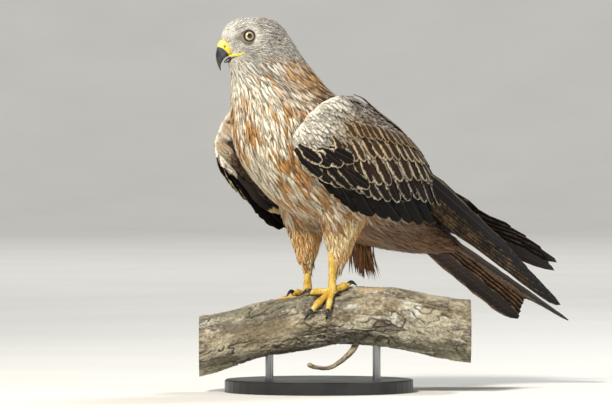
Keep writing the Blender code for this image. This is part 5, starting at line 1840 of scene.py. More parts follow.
@dataclass
class Tail:
    """Twelve long tail feathers in a forked fan."""

    shape: TailShape = field(default_factory=TailShape)
    sections: int = 18
    middle_colour: str = "#744a2e"
    outer_colour: str = "#4f3623"
    outer_dark: str = "#1d1613"
    tip_dark: str = "#1c1512"
    fringe: str = "#a58a6c"

    def build(self, finish: bpy.types.Material) -> bpy.types.Object:
        """Builds the fan: each feather lies over its outer neighbour and rounds off at its tip."""
        shape, maker = self.shape, Wing("left", sections=self.sections)
        wide = shape.feather_half_width
        share = np.linspace(-1, 1, shape.feathers)
        length = shape.length(share)
        shares, outline = maker.outline(5.0, 0.55)
        reach = shape.start + (length - shape.start)[:, None] * shares[None]
        spread = shape.half_width * (reach / (shape.middle_length + shape.fork)) ** shape.spread_power
        half = wide * outline[None] * np.ones_like(reach)
        centre = share[:, None] * (spread - wide * np.minimum(1.0, 0.62 + 0.76 * shares)[None])
        layer = shape.layer * np.abs(share)[:, None] * (shape.feathers - 1) / 2
        left = shape.point(reach, centre - half, layer)
        right = shape.point(reach, centre + half, layer)
        tubes = maker.tubes(left, right, np.broadcast_to(shape.up, left.shape), 71)
        grid = tubes.shape[:3]
        along = shares[None, :, None] * np.ones(grid)
        outer = (np.abs(share) > 0.9)[:, None, None, None]
        web = mix(srgb(self.middle_colour), srgb(self.outer_colour), np.abs(share))[:, None, None]
        web = web * np.ones((*grid, 3))
        web = np.where(outer, mix(web, srgb(self.outer_dark), 0.75 * ramp(along, 0.1, 0.7)), web)
        web = mix(web, srgb(self.tip_dark), 0.85 * ramp(along, 0.9, 0.985))
        colours = {
            "web": web,
            "fringe": plain(self.fringe, grid),
            "marks": vane_marks(grid, 0.10, 0.7, 0.3 * wide / length),
        }
        unwrap = np.stack([np.linspace(0.55, 0.95, len(share)), np.full(len(share), 0.6)], axis=1)
        maps = maker.maps(length, np.full(len(share), wide), shares, unwrap)
        return many_tubes("tail_feathers", tubes, finish, maps, colours)


@dataclass
class Head:
    """Bill with its waxy cere and nostrils, the gape's lips, and the eyes with their lids."""

    upper: Array = table(
        (-129.0, 440.5, -122.0, 421.5, 7.8),
        (-141.5, 440.4, -131.0, 420.0, 7.9),
        (-147.8, 436.4, -137.5, 418.4, 7.4),
        (-150.8, 428.6, -141.8, 415.8, 6.2),
        (-152.2, 419.4, -144.8, 411.6, 4.5),
        (-150.6, 410.4, -146.4, 407.0, 2.6),
        (-146.9, 401.4, -145.9, 401.8, 0.9),
    )
    lower: Array = table(
        (-122.0, 420.6, -122.0, 411.5, 7.4),
        (-131.0, 419.2, -132.0, 409.8, 6.8),
        (-138.0, 416.6, -138.2, 409.4, 5.0),
        (-143.1, 411.8, -142.4, 409.6, 2.2),
    )
    gape: Array = table(
        (6.6, -138.0, 419.6, 2.1),
        (11.5, -129.0, 420.6, 1.7),
        (15.8, -119.0, 423.2, 1.35),
        (19.0, -109.5, 426.0, 1.1),
        (21.9, -101.0, 428.4, 0.8),
    )
    eye_centre: Array = table(17.8, -117.0, 443.7)
    eye_axis: Array = table(10.0, -1.5, 0.5)
    eye_radius: float = 8.4
    lid_radius: float = 6.9
    cere_end: float = 2.2
    cere_slant: float = 0.55
    bare_from: float = 1.3
    nostril: tuple[float, float] = (1.75, 0.28)

    @staticmethod
    def sections(stations: Array, rows: Array, sides: int, power: float) -> tuple[Array, Array]:
        """Rings between an upper and a lower edge in the bird's middle plane, and their angles."""
        angle = circle(sides)
        across, along = signed_power(np.cos(angle), 2 / power), signed_power(np.sin(angle), 2 / power)
        row = through(stations, rows)
        top, bottom = row[:, 0:2], row[:, 2:4]
        reach = (top - bottom) / 2
        flat = ((top + bottom) / 2)[:, None] + along[None, :, None] * reach[:, None]
        x = across[None] * row[:, 4:5]
        return np.concatenate([x[..., None], flat], axis=-1), angle

    def bill_upper(self, finish: bpy.types.Material) -> bpy.types.Object:
        """The hooked upper bill: yellow cere with oval nostrils, then black horn, with a painted highlight
        band on the horn and a painted highlight on the cere's top.
        """
        rows = np.linspace(0, len(self.upper) - 1, 72)
        rings, angle = self.sections(self.upper, rows, 48, 2.2)
        centre = rings.mean(axis=1, keepdims=True)
        row, turn = np.meshgrid(rows, angle, indexing="ij")
        rise = np.sin(turn)
        away = ((row - self.nostril[0]) / 0.3) ** 2 + ((rise - self.nostril[1]) / 0.22) ** 2
        hole = np.exp(-away) * (np.abs(np.cos(turn)) > 0.3)
        swell = 0.045 * bump(row, 1.5, 0.9) * np.clip(rise + 0.3, 0, 1)
        notch = 0.05 * ramp(row - self.cere_slant * rise, self.cere_end - 0.12, self.cere_end + 0.1) - 0.02
        root = 0.2 * ramp(row, self.bare_from, self.bare_from - 0.35)
        rings = centre + (rings - centre) * (1 + swell - notch * (row < 5) - 0.34 * hole - root)[..., None]
        border = self.cere_end + self.cere_slant * rise
        cere = ramp(row, border + 0.1, border - 0.1)
        # Painted highlight: a lighter grey band round the horn just past the cere.
        painted_highlight_band = 0.4 * bump(row, self.cere_end + 0.7, 0.5)
        horn = mix(plain("#1b1c1f", row.shape), srgb("#5b5f66"), painted_highlight_band)
        # The cere is lighter towards its top: painted highlight.
        yellow = mix(plain("#dfc53a", row.shape), srgb("#efe07c"), np.clip(rise, 0, 1))
        colour = mix(mix(horn, yellow, cere), srgb("#120e08"), np.clip(hole * 1.5 - 0.45, 0, 1))
        colours = {"horn": colour.reshape(-1, 3)}
        return lofted("bill_upper_horn", BODY.head_turned(rings), finish, colours=colours)

    def bill_lower(self, finish: bpy.types.Material) -> bpy.types.Object:
        """The lower bill, tucked under the upper one: yellow at its root, black at its tip."""
        rows = np.linspace(0, len(self.lower) - 1, 40)
        rings, _ = self.sections(self.lower, rows, 36, 2.2)
        centre = rings.mean(axis=1, keepdims=True)
        rings = centre + (rings - centre) * 0.8 + (0, 1.6, 1.0)
        share = np.repeat(rows[:, None], 36, axis=1)
        colour = mix(plain("#dcb33a", share.shape), srgb("#1a1a1d"), ramp(share, 0.9, 1.4))
        colours = {"horn": colour.reshape(-1, 3)}
        return lofted("bill_lower_horn", BODY.head_turned(rings), finish, colours=colours)

    def lips(self, finish: bpy.types.Material) -> bpy.types.Object:
        """Yellow lips of the gape, from the cere back under the eye, with the mouth's line in them."""
        tubes, colours = [], []
        for sign in (-1, 1):
            table = through(self.gape, np.linspace(0, len(self.gape) - 1, 32))
            path = table[:, :3] * (sign, 1, 1)
            _, side, up = frames_along(path, UP)
            angle = circle(20)
            groove = 1 - 0.3 * bump(np.sin(angle), 0.0, 0.2)
            ends = np.sin(np.linspace(0.15, math.pi - 0.05, 32)) ** 0.4
            size = (table[:, 3] * ends)[:, None, None] * groove[None, :, None]
            tube = path[:, None] + rounds(side, up, angle, 1.05) * size
            tubes.append(BODY.head_turned(tube))
            dark = bump(np.sin(angle), 0.0, 0.12)[None] * np.ones((32, 1))
            colours.append(mix(plain("#e3cc4c", (32, 20)), srgb("#7a5a1c"), 0.8 * dark))
        tubes, colours = np.array(tubes), np.array(colours)
        return many_tubes("gape_lips", tubes, finish, {}, {"horn": colours})

    def eye(self, side: str, finish: bpy.types.Material) -> bpy.types.Object:
        """One eyeball with a slightly bulging cornea: a sphere whose front cap rises by a cosine."""
        centre, axis, first, second = self.eye_frame(side)
        tilt = np.linspace(0.02, math.pi - 0.02, 40)
        turn = circle(48)
        bulge = self.eye_radius + 0.35 * bump(tilt, 0, 0.62)
        flat = np.cos(turn)[None, :, None] * first + np.sin(turn)[None, :, None] * second
        outward, ahead = bulge * np.sin(tilt), bulge * np.cos(tilt)
        rings = centre + outward[:, None, None] * flat + ahead[:, None, None] * axis
        away = np.sin(tilt) * self.eye_radius / self.lid_radius * np.where(tilt < 1.57, 1.0, 3.0)
        spin = turn / (2 * math.pi)
        uv = np.stack(np.broadcast_arrays(np.clip(away, 0, 1.2)[:, None], spin[None]), axis=-1)
        return lofted(f"eyeball_{side}", rings, finish, maps={"iris": uv.reshape(-1, 2)})

    def eye_frame(self, side: str) -> tuple[Array, Array, Array, Array]:
        """Centre of an eye, its axis, and the level and upright directions across it."""
        sign = 1.0 if side == "left" else -1.0
        centre = BODY.head_turned(self.eye_centre * (sign, 1, 1))
        axis = unit(BODY.head_turned((self.eye_centre + self.eye_axis) * (sign, 1, 1)) - centre)
        first = unit(np.cross(axis, UP)) * sign
        return centre, axis, first, np.cross(first, axis) * sign

    def lids(self, side: str, finish: bpy.types.Material) -> bpy.types.Object:
        """Bare lids round one eye: a rim on the eyeball that swells and sinks into the feathers.

        The rim is an oval, flatter above where the brow presses on it, with a fine dark margin. Its upper
        half is darkened as painted shadow of the brow.
        """
        centre, axis, first, second = self.eye_frame(side)
        turn = circle(72)
        share = np.linspace(0, 1, 12)
        upward = np.sin(turn)
        inner = self.lid_radius * (1 - 0.10 * np.clip(upward, 0, 1) ** 2 - 0.05 * np.clip(-upward, 0, 1) ** 2)
        radius = inner[:, None] + share[None] * 3.4
        on_ball = np.sqrt(np.maximum((self.eye_radius + 0.1) ** 2 - inner**2, 0))
        swell = 0.75 * np.sin(math.pi * np.minimum(share * 1.6, 1.0)) - 2.6 * share**2
        height = on_ball[:, None] + swell[None]
        flat = np.cos(turn)[:, None, None] * first + np.sin(turn)[:, None, None] * second
        top = centre + radius[..., None] * flat + height[..., None] * axis
        under = centre + radius[..., None] * flat * 0.995 + (height - 1.4)[..., None] * axis
        ring = np.concatenate([top, under[:, ::-1]], axis=1)
        closed = np.concatenate([ring, ring[:1]], axis=0)
        sides = ring.shape[1]
        corners, starts = tube_faces(len(closed), sides, capped=False)
        corners = corners % (len(turn) * sides)
        points = ring.reshape(-1, 3)
        if signed_volume(points, corners, starts) < 0:
            corners = turned_faces(corners, starts)
        margin = np.concatenate([ramp(share, 0.3, 0.08), np.ones(12)])[None] * np.ones((len(turn), 1))
        colour = mix(plain("#7b7164", margin.shape), srgb("#120e0b"), margin)
        # Upper half of the lids darkened: painted shadow of the brow.
        painted_brow_shadow = 0.85 * np.clip(1.4 * upward + 0.1, 0, 1)[:, None] * np.ones(margin.shape)
        colour = mix(colour, srgb("#2b2520"), painted_brow_shadow)
        colours = {"horn": colour.reshape(-1, 3)}
        return new_object(f"eyelids_{side}", points, corners, starts, finish, colours=colours)


@dataclass
class Foot:
    """A scaly yellow foot: shank, four toes with broad scutes above and pads below, and claws."""

    side: str
    toe_swell: tuple[float, ...] = (1.15, 0.95, 1.0, 0.88, 0.98, 0.84, 0.72)
    scute_mm: float = 2.6
    claw_length: float = 19.0

    def build(self, skin: bpy.types.Material, horn: bpy.types.Material) -> list[bpy.types.Object]:
        """Builds the shank with its toes, and the claws."""
        leg = LegShape(self.side)
        return [self._skin(leg, skin), self._claws(leg, horn)]

    def _skin(self, leg: LegShape, finish: bpy.types.Material) -> bpy.types.Object:
        """Shank and toes as tubes of like size, each scute a step in the radius on its upper side."""
        rings, sides = 64, 20
        angle = circle(sides)
        tubes = []
        share = np.linspace(0, 1, rings)
        table = through(leg.shank, share * (len(leg.shank) - 1))
        z = table[:, 0]
        path = np.stack([np.full(rings, leg.foot[0]), np.full(rings, leg.foot[1]), z], axis=1)
        scute = self._scute(176.0 - z, 3.2)
        front = np.clip(-np.sin(angle), 0, 1)
        size = 1 + 0.055 * scute[:, None] * front[None] + 0.02 * np.sin(5 * angle + share[:, None] * 60)
        tubes.append(path[:, None] + np.stack([
            table[:, 1:2] * np.cos(angle) * size, table[:, 2:3] * np.sin(angle) * size, 0 * size,
        ], axis=-1))
        for heading, length, radius in leg.toes[self.side]:
            distance = np.linspace(-1.0, length + 0.5, rings)
            along, turn = leg.toe_path(BRANCH, heading, distance, radius)
            swell = np.interp(share * 6, np.arange(7), self.toe_swell)
            middle = BRANCH.point(along, turn, radius * swell + 0.1)
            swell = swell * (1 + 0.10 * np.sin(share * 4 * math.pi + 0.6)) * ramp(1.06 - share, 0.0, 0.16)
            radii = radius * swell
            middle[:, 2] += 1.5 * ramp(1 - share, 0.8, 1.0)
            _, side, up = frames_along(middle, UP)
            up = np.where((up[:, 2] < 0)[:, None], -up, up)
            above = np.clip(np.sin(angle), 0, 1)
            size = 1 + 0.11 * self._scute(distance, self.scute_mm)[:, None] * above[None]
            tubes.append(middle[:, None] + rounds(side, up, angle) * (radii[:, None] * size)[..., None])
        return many_tubes(f"foot_{self.side}_skin", np.array(tubes), finish, {}, {})

    @staticmethod
    def _scute(distance: Array, pitch: float) -> Array:
        """A saw-like step for each scute: rises slowly along it and drops at its end."""
        part = (distance / pitch) % 1.0
        return part**0.6 * ramp(1 - part, 0.0, 0.16)

    def _claws(self, leg: LegShape, finish: bpy.types.Material) -> bpy.types.Object:
        """Four curved claws that taper to a point on the bark."""
        rings, sides = 28, 14
        angle = circle(sides)
        share = np.linspace(0, 1, rings)
        tubes = []
        for heading, length, radius in leg.toes[self.side]:
            distance = np.linspace(length - 2.5, length + self.claw_length * 0.6, rings)
            along, turn = leg.toe_path(BRANCH, heading, distance, radius)
            lift = radius * 0.72 * (1 - share) + 0.8 + 5.4 * np.sin(math.pi * share) * (1 - 0.7 * share)
            middle = BRANCH.point(along, turn, lift)
            _, side, up = frames_along(middle, UP)
            radii = 3.0 * (1 - share) ** 0.6 + 0.15
            tubes.append(middle[:, None] + rounds(side, up, angle, 0.82) * radii[:, None, None])
        pale = 0.5 * ramp(share, 0.25, 0.0)[None, :, None] * np.ones((4, 1, sides))
        colour = mix(plain("#17171a", (4, rings, sides)), srgb("#3a3836"), pale)
        return many_tubes(f"claws_{self.side}", np.array(tubes), finish, {}, {"horn": colour})


@dataclass
class Perch:
    """The cut length of branch: fissured bark, a bare patch, lichen, and sawn ends."""

    rows: int = 350
    sides: int = 240
    fissure_mm: float = 8.0
    relief: float = 2.0

    def build(self, finish: bpy.types.Material) -> bpy.types.Object:
        """Builds the bark as a grid over the branch, pushed in and out by fields that run along it."""
        along = np.linspace(BRANCH.stations[0, 0] + 0.3, BRANCH.stations[-1, 0] - 0.3, self.rows)
        angle = circle(self.sides)
        u, v = np.meshgrid(along, angle, indexing="ij")
        radius = BRANCH.radius(u)
        flat = np.stack([u * 0.42, radius * np.cos(v), radius * np.sin(v)], axis=-1)
        warp = flat + 2.6 * np.stack([noise(flat, 9, 5), noise(flat, 9, 6), noise(flat, 9, 7)], axis=-1)
        crack = np.zeros_like(u)
        for number, (size, depth) in enumerate(((1.0, 1.0), (0.55, 0.75), (0.3, 0.5))):
            ridge = 1 - np.abs(fractal(warp, self.fissure_mm * size, 11 + 7 * number, 2)) * 2.6
            broken = ramp(noise(flat, 15, 51 + number), -0.7, 0.1)
            crack = np.maximum(crack, depth * ramp(ridge, 0.5, 1.0) * broken)
        plate = fractal(warp, 12, 31, 4)
        bare = bump(u, 66, 22) * bump(v, 1.2, 0.22)
        bare = ramp(bare + 0.2 * plate, 0.4, 0.6)
        height = self.relief * (0.6 * plate - 1.15 * crack * (1 - bare)) - 0.8 * bare - 0.7
        height = np.minimum(height + 0.4 * fractal(flat * (2, 1, 1), 2.2, 61, 2), 0.25)
        points = BRANCH.point(u, v, height)
        ends = self._end_caps(points)
        patch = 0.9 * bump(u, 118, 22) * bump(v, 0.5, 0.5) + 0.35 * bump(u, 60, 60)
        lichen = ramp(fractal(flat, 6.5, 71, 3) + patch, 0.7, 0.92) * ramp(-crack, -0.5, 0.0)
        tone = fractal(warp, 26, 81, 4)
        speck = fractal(flat * (1.5, 1, 1), 2.4, 95, 2)
        pale = ramp(plate + 0.5 * speck + 0.2 * tone, -0.55, 0.6)
        colour = mix(plain("#6f6658", u.shape), srgb("#bab29c"), pale)
        colour = mix(colour, srgb("#94835f"), 0.45 * ramp(tone, 0.0, 0.6))
        colour = mix(colour, srgb("#8d8c72"), 0.4 * ramp(-tone, 0.1, 0.6))
        # Fissures darkened: partly the darker inner bark, partly painted shade in the cracks.
        colour = mix(colour, srgb("#2a2118"), 0.88 * crack)
        colour = mix(colour, srgb("#b89f78"), bare)
        colour = mix(colour, srgb("#cfcfc6"), 0.7 * lichen)
        all_points = np.concatenate([ends[0], points, ends[1]], axis=0)
        wood = plain("#b89468", ends[0].shape[:2])
        late_wood = np.sin(np.linspace(0, 60, len(wood)))[:, None] > 0.3
        rings_dark = mix(wood, srgb("#8a6842"), 0.6 * late_wood * np.ones(self.sides))
        colours = np.concatenate([rings_dark, colour, rings_dark[::-1]], axis=0)
        return lofted("branch_bark", all_points, finish, colours={"bark": colours.reshape(-1, 3)})

    @staticmethod
    def twig(finish: bpy.types.Material) -> bpy.types.Object:
        """The dead twig under the branch: a bent tube with knots, thinner in its middle."""
        stations = np.array([
            (48.0, 64.0, 2.0, 4.6), (43.0, 54.0, 5.0, 4.3), (32.0, 42.5, 9.0, 3.6),
            (14.0, 31.0, 12.0, 3.0), (-3.0, 31.0, 12.0, 2.9), (-14.5, 35.0, 10.0, 3.6),
        ])
        rings, sides = 90, 28
        table = through(stations, np.linspace(0, len(stations) - 1, rings))
        path = table[:, :1] * BRANCH.along + table[:, 1:2] * UP + table[:, 2:3] * BRANCH.front
        _, side, up = frames_along(path, BRANCH.front)
        turn = circle(sides)
        grain_at = (np.linspace(0, 55, rings)[:, None], 3 * np.cos(turn)[None], 3 * np.sin(turn)[None])
        rough = fractal(np.stack(np.broadcast_arrays(*grain_at), axis=-1), 3.0, 121, 3)
        end = np.sqrt(np.clip((rings - 0.6 - np.arange(rings)) / 4, 0, 1))[:, None]
        radius = (table[:, 3:4] - 0.35) * (1 + 0.08 * rough) * end
        colour = mix(plain("#6b5d49", rough.shape), srgb("#ab9d83"), ramp(rough, -0.4, 0.5))
        points = path[:, None] + rounds(side, up, turn) * radius[..., None]
        return lofted("branch_twig", points, finish, colours={"bark": colour.reshape(-1, 3)})

    @staticmethod
    def _end_caps(points: Array) -> tuple[Array, Array]:
        """Rings that close each sawn end towards its middle, leaving a small last ring."""
        shares = np.array([0.03, 0.15, 0.3, 0.45, 0.6, 0.75, 0.9, 0.985])
        caps = []
        for ring in (points[0], points[-1]):
            centre = ring.mean(axis=0)
            caps.append(centre + (ring - centre)[None] * shares[:, None, None])
        return caps[0], caps[1][::-1]


@dataclass
class Stand:
    """The display stand's base and rods, whose solids stay and get their finishes."""

    def build(self) -> None:
        """Assigns paint to the base and brushed steel to the rods."""
        paint, steel = PaintFinish().make(), BrushedSteelFinish().make()
        for name, finish in (("stand_base", paint), ("stand_rod_1", steel), ("stand_rod_2", steel)):
            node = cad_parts[name]
            if not node.material_slots:
                node.data.materials.append(None)
            node.material_slots[0].material = finish
            log.info("%s: carried over with %s", name, finish.name)


@dataclass
class Studio:
    """Camera at the photo's framing, a plain pale floor, and soft light."""

    azimuth: float = 50.0
    elevation: float = 0.8
    distance: float = 8.5
    view_width: float = 0.765
    across: float = -16.25
    height: float = 235.0

    def build(self) -> None:
        """Sets camera, floor, world and lights."""
        scene = bpy.context.scene
        side = np.array([math.cos(math.radians(self.azimuth)), math.sin(math.radians(self.azimuth)), 0.0])
        front = np.array([math.sin(math.radians(self.azimuth)), -math.cos(math.radians(self.azimuth)), 0.0])
        target = (side * self.across + UP * self.height) * MM
        tilt = math.radians(self.elevation)
        place = target + (front * math.cos(tilt) + UP * math.sin(tilt)) * self.distance
        data = bpy.data.cameras.new("camera")
        data.sensor_width = 36.0
        data.lens = 36.0 * self.distance / self.view_width
        data.clip_end = 100.0
        camera = bpy.data.objects.new("camera", data)
        camera.location = place
        camera.rotation_euler = (Vector(target) - Vector(place)).to_track_quat("-Z", "Y").to_euler()
        scene.collection.objects.link(camera)
        scene.camera = camera
        self._floor()
        self._light("key", -side * 1.3 + front * 2.8 + UP * 2.7, 0.6, 205.0, (1.0, 0.95, 0.87), target)
        self._light("fill", side * 3.0 + front * 2.2 + UP * 1.0, 2.4, 22.0, (0.86, 0.93, 1.0), target)
        self._light("rim", side * 1.6 - front * 2.2 + UP * 3.0, 1.2, 90.0, (0.93, 0.97, 1.0), target)
        far = target - front * 14.0 + UP * 2.0
        self._light("wall", target - front * 5.0 + UP * 6.0, 5.0, 420.0, (1.0, 1.0, 1.0), far)
        world = bpy.data.worlds.new("pale_room")
        world.use_nodes = True
        world.node_tree.nodes["Background"].inputs["Color"].default_value = (*srgb("#c6cace"), 1.0)
        world.node_tree.nodes["Background"].inputs["Strength"].default_value = 0.5
        scene.world = world
        scene.view_settings.view_transform = "Standard"

    @staticmethod
    def _floor() -> None:
        """A flat floor that sweeps up far away, so that no horizon shows behind the bird.

        Its height is 0 as far as the flat part reaches, then follows a quarter circle.
        """
        flat, sweep, sides = 11000.0, 5000.0, 96
        turn = circle(sides)
        bend = np.linspace(0, math.pi / 2, 24)
        reach = np.concatenate([[1.0, 3000.0], flat + sweep * np.sin(bend)])
        height = np.concatenate([[0.0, 0.0], sweep * (1 - np.cos(bend))])
        across, ahead = reach[:, None] * np.cos(turn), reach[:, None] * np.sin(turn)
        rings = np.stack(np.broadcast_arrays(across, ahead, height[:, None]), axis=-1)
        corners, starts = tube_faces(len(reach), sides, capped=False)
        corners = np.concatenate([corners, np.arange(sides)])
        starts = np.append(starts, len(corners) - sides)
        floor = new_object("floor", rings.reshape(-1, 3), corners, starts, FloorFinish().make())

    @staticmethod
    def _light(name: str, place: Array, size: float, power: float, colour: tuple, target: Array) -> None:
        """One soft square light aimed at the bird."""
        data = bpy.data.lights.new(name, "AREA")
        data.size, data.energy, data.color = size, power, colour
        lamp = bpy.data.objects.new(name, data)
        lamp.location = place
        lamp.rotation_euler = (Vector(target) - Vector(place)).to_track_quat("-Z", "Y").to_euler()
        bpy.context.scene.collection.objects.link(lamp)


def paint_skin(skin: bpy.types.Object, seen: list[tuple[Array, Array]]) -> None:
    """Gives the skin the colour of the nearest feather's root, so that both carry the same markings."""
    places = np.concatenate([place for place, _ in seen])
    colours = np.concatenate([colour for _, colour in seen])
    tree = KDTree(len(places))
    for number, place in enumerate(places):
        tree.insert(Vector(place), number)
    tree.balance()
    mesh = skin.data
    points = np.empty(len(mesh.vertices) * 3)
    mesh.vertices.foreach_get("co", points)
    nearest = [tree.find(Vector(p))[1] for p in points.reshape(-1, 3) / MM]
    layer = mesh.color_attributes.new(name="plumage", type="FLOAT_COLOR", domain="POINT")
    filled = np.concatenate([colours[nearest], np.ones((len(nearest), 1))], axis=1)
    layer.data.foreach_set("color", filled.astype(np.float32).ravel())


def wing_coat(coat: Coat, side: str) -> Roots:
    """Roots of the small coverts on the wing's arm, like scales with dark spots and pale edges.

    Args:
        coat: the coat that they belong to.
        side: which wing.

    Returns:
        Roots whose colours run from cream near the front edge to brown further up and back.
    """
    shape = WingShape(side)
    turns = (math.radians(-44), math.radians(84))
    u, v = scatter(lambda u, v: shape.point(u, v, -3.0), (-97.0, 150.0), turns, 6.2, 501, closed=False)
    rng = np.random.default_rng(502)
    degrees = np.degrees(v)
    limit = np.interp(u, (-97, -70, -45, -20, 0, 50, 100, 150), (-44, -44, -27, -15, -8, 10, 30, 52))
    above = degrees > limit
    u, v, degrees = u[above], v[above], degrees[above]
    points = shape.point(u, v, -3.2)
    spot, normal, near = coat.snapped(points, 3.4)
    swing = math.radians(14)
    ahead = unit(shape.point(u + 1, v, -3.2) - points)
    down = unit(shape.point(u, v - 0.01, -3.2) - points)
    heading = unit(ahead * math.cos(swing) + down * math.sin(swing) + rng.normal(0, 0.08, (len(u), 3)))
    front = ramp(u, -46, -78) * ramp(degrees, 38, 16)
    top = ramp(degrees, 10, 32)
    chance, second = rng.random(len(u)), rng.random(len(u))
    edge = mix(srgb("#cbb594"), srgb("#6d5540"), top)
    edge = mix(edge, srgb("#fbf3e2"), np.clip(front + 0.2 * chance, 0, 1))
    brown = mix(srgb("#3f2d20"), srgb("#21170f"), top)
    centre = mix(brown, srgb("#f3e8d2"), front * ramp(second, 0.85, 0.6))
    share, base = ramp(u, -96, -30), UNWRAP_START[side]
    return Roots(
        place=spot,
        heading=squared(heading, normal),
        unwrap=np.stack([base + 0.2 * (u + 97) / 320, 0.7 + 0.28 * (degrees + 44) / 130], axis=1),
        length=(10 + 10 * share) * rng.uniform(0.85, 1.15, len(u)),
        width=(5.2 + 4.0 * share) * rng.uniform(0.85, 1.15, len(u)),
        rise=(2.0 + 3.6 * share) * rng.uniform(0.75, 1.15, len(u)),
        centre=mix(centre, srgb("#6d5238"), (1 - front) * 0.5 * ramp(chance, 0.5, 1.0)),
        edge=edge,
        tip=mix(edge, srgb("#f6eddc"), 0.5 * chance),
        shaft=0.8 * ramp(second, 0.3, 0.7) * (1 - 0.5 * front),
    ).only(near)


def wing_lining(coat: Coat, side: str, count: int = 3600) -> Roots:
    """Roots of the under-wing coverts on the arm's inner face, orange-brown, then nearly black.

    Args:
        coat: the coat that they belong to.
        side: which wing.
        count: how many are tried.

    Returns:
        Roots that face the body, seen where the far wing hangs clear of the breast.
    """
    shape = WingShape(side)
    rng = np.random.default_rng(552)
    u = rng.uniform(-95, 150, count)
    row = at_distance(shape.stations, u)
    share = rng.random(count)
    degrees = row[:, 3] + (row[:, 4] - row[:, 3]) * share
    angle = np.radians(degrees)
    depth = 3.0 + row[:, 5] * (0.25 + 0.75 * np.sin(math.pi * share) ** 0.5)
    points = shape.point(u, angle, -depth)
    spot, normal, near = coat.snapped(points, 6.0)
    inward = shape.point(u, angle, -depth - 3.0) - points
    near &= (np.einsum("ij,ij->i", normal, inward) > 0) & (np.abs(share - 0.5) < 0.38) & (u > -88)
    heading = unit(shape.point(u + 1, angle, -depth) - points)
    heading = unit(heading + rng.normal(0, 0.08, (count, 3)) - 0.2 * UP)
    chance = rng.random(count)
    pale = ramp(u, -70, -90) * ramp(chance, 0.0, 0.25)
    dark = np.clip(ramp(u, -68, -20) + ramp(degrees, -4, -30) + 0.8 * (chance - 0.5), 0, 1) * (1 - pale)
    edge = mix(mix(srgb("#7d5231"), srgb("#f0e2c8"), pale), srgb("#2a1b12"), dark)
    return Roots(
        place=spot,
        heading=squared(heading, normal),
        unwrap=np.stack([UNWRAP_START[side] + 0.2 * (u + 97) / 320, 0.5 + 0.09 * share], axis=1),
        length=rng.uniform(18, 28, count),
        width=rng.uniform(7.5, 10.5, count),
        rise=rng.uniform(1.4, 3.6, count),
        centre=mix(mix(srgb("#8a5128"), srgb("#d9bf97"), pale), srgb("#1c120d"), dark),
        edge=edge,
        tip=mix(edge, srgb("#d8b98c"), 0.25 * chance),
        shaft=0.5 * chance,
    ).only(near)


def thigh_coat(coat: Coat, side: str) -> Roots:
    """Roots of a thigh's soft, drooping feathers."""
    leg = LegShape(side)
    u, v = scatter(lambda u, v: leg.point(u, v, -2.0), (0.05, 4.4), (0, 2 * math.pi), 4.4, 601)
    rng = np.random.default_rng(602)
    spot, normal, near = coat.snapped(leg.point(u, v, -2.4), 2.6)
    heading = squared(np.array([0.0, 0.12, -1.0]) + rng.normal(0, 0.12, (len(u), 3)), normal)
    chance, streak = rng.random(len(u)), rng.random(len(u))
    warm = ramp(fractal(spot * (1.0, 1.0, 0.5), 14.0, 91, 2), -0.2, 0.3)
    edge = mix(mix(srgb("#ffe2a6"), srgb("#eaaf5c"), warm), srgb("#ffefc8"), 0.3 * chance)
    return Roots(
        place=spot,
        heading=heading,
        unwrap=np.stack([UNWRAP_START[side] + 0.2 * v / (2 * math.pi), 0.62 + 0.05 * u / 5], axis=1),
        length=rng.uniform(15, 22, len(u)),
        width=rng.uniform(3.2, 5.0, len(u)),
        rise=rng.uniform(1.2, 3.4, len(u)),
        centre=mix(mix(edge, srgb("#c58746"), 0.7 * warm), srgb("#9a6434"), 0.45 * ramp(streak, 0.8, 0.95)),
        edge=edge,
        tip=mix(edge, srgb("#f8ecd2"), 0.6 * chance),
        shaft=0.2 * ramp(streak, 0.6, 0.9),
    ).only(near)


def thigh_fringe(side: str, count: int = 170) -> Roots:
    """Roots of the loose feathers that hang from a thigh's lower end over the shank."""
    leg = LegShape(side)
    rng = np.random.default_rng(611)
    u, v = rng.uniform(3.0, 4.7, count), rng.uniform(0, 2 * math.pi, count)
    points = leg.point(u, v, -2.8)
    inward = (leg.foot - points) * (1, 1, 0)
    chance = rng.random(count)
    edge = mix(srgb("#f3e2c0"), srgb("#d09a58"), ramp(chance, 0.3, 0.9))
    return Roots(
        place=points,
        heading=unit(inward * 0.035 + (0, 0.06, -1) + rng.normal(0, 0.07, (count, 3))),
        unwrap=np.stack([UNWRAP_START[side] + 0.2 * v / (2 * math.pi), 0.675 + 0.01 * chance], axis=1),
        length=rng.uniform(11, 21, count),
        width=rng.uniform(2.4, 3.8, count),
        rise=rng.uniform(0.2, 1.0, count),
        centre=mix(edge, srgb("#b57b40"), 0.4 * chance),
        edge=edge,
        tip=mix(edge, srgb("#f6ead0"), 0.5),
        shaft=0.3 * chance,
    )


def vent_tuft(count: int = 130) -> Roots:
    """Roots of the long loose feathers that hang from the belly behind the legs."""
    rng = np.random.default_rng(621)
    u, v = rng.uniform(13.9, 14.6, count), np.radians(rng.uniform(232, 268, count))
    chance = rng.random(count)
    edge = mix(srgb("#8f5c30"), srgb("#c18b50"), chance)
    return Roots(
        place=BODY.point(u, v, -3.0),
        heading=unit(np.array([0.0, 0.10, -1.0]) + rng.normal(0, 0.09, (count, 3))),
        unwrap=np.stack([0.01 + 0.48 * v / (2 * math.pi), 0.79 + 0.02 * chance], axis=1),
        length=rng.uniform(24, 48, count),
        width=rng.uniform(3.0, 4.6, count),
        rise=rng.uniform(0.2, 1.0, count),
        centre=mix(edge, srgb("#5d3a20"), 0.6),
        edge=edge,
        tip=edge,
        shaft=0.4 * chance,
    )


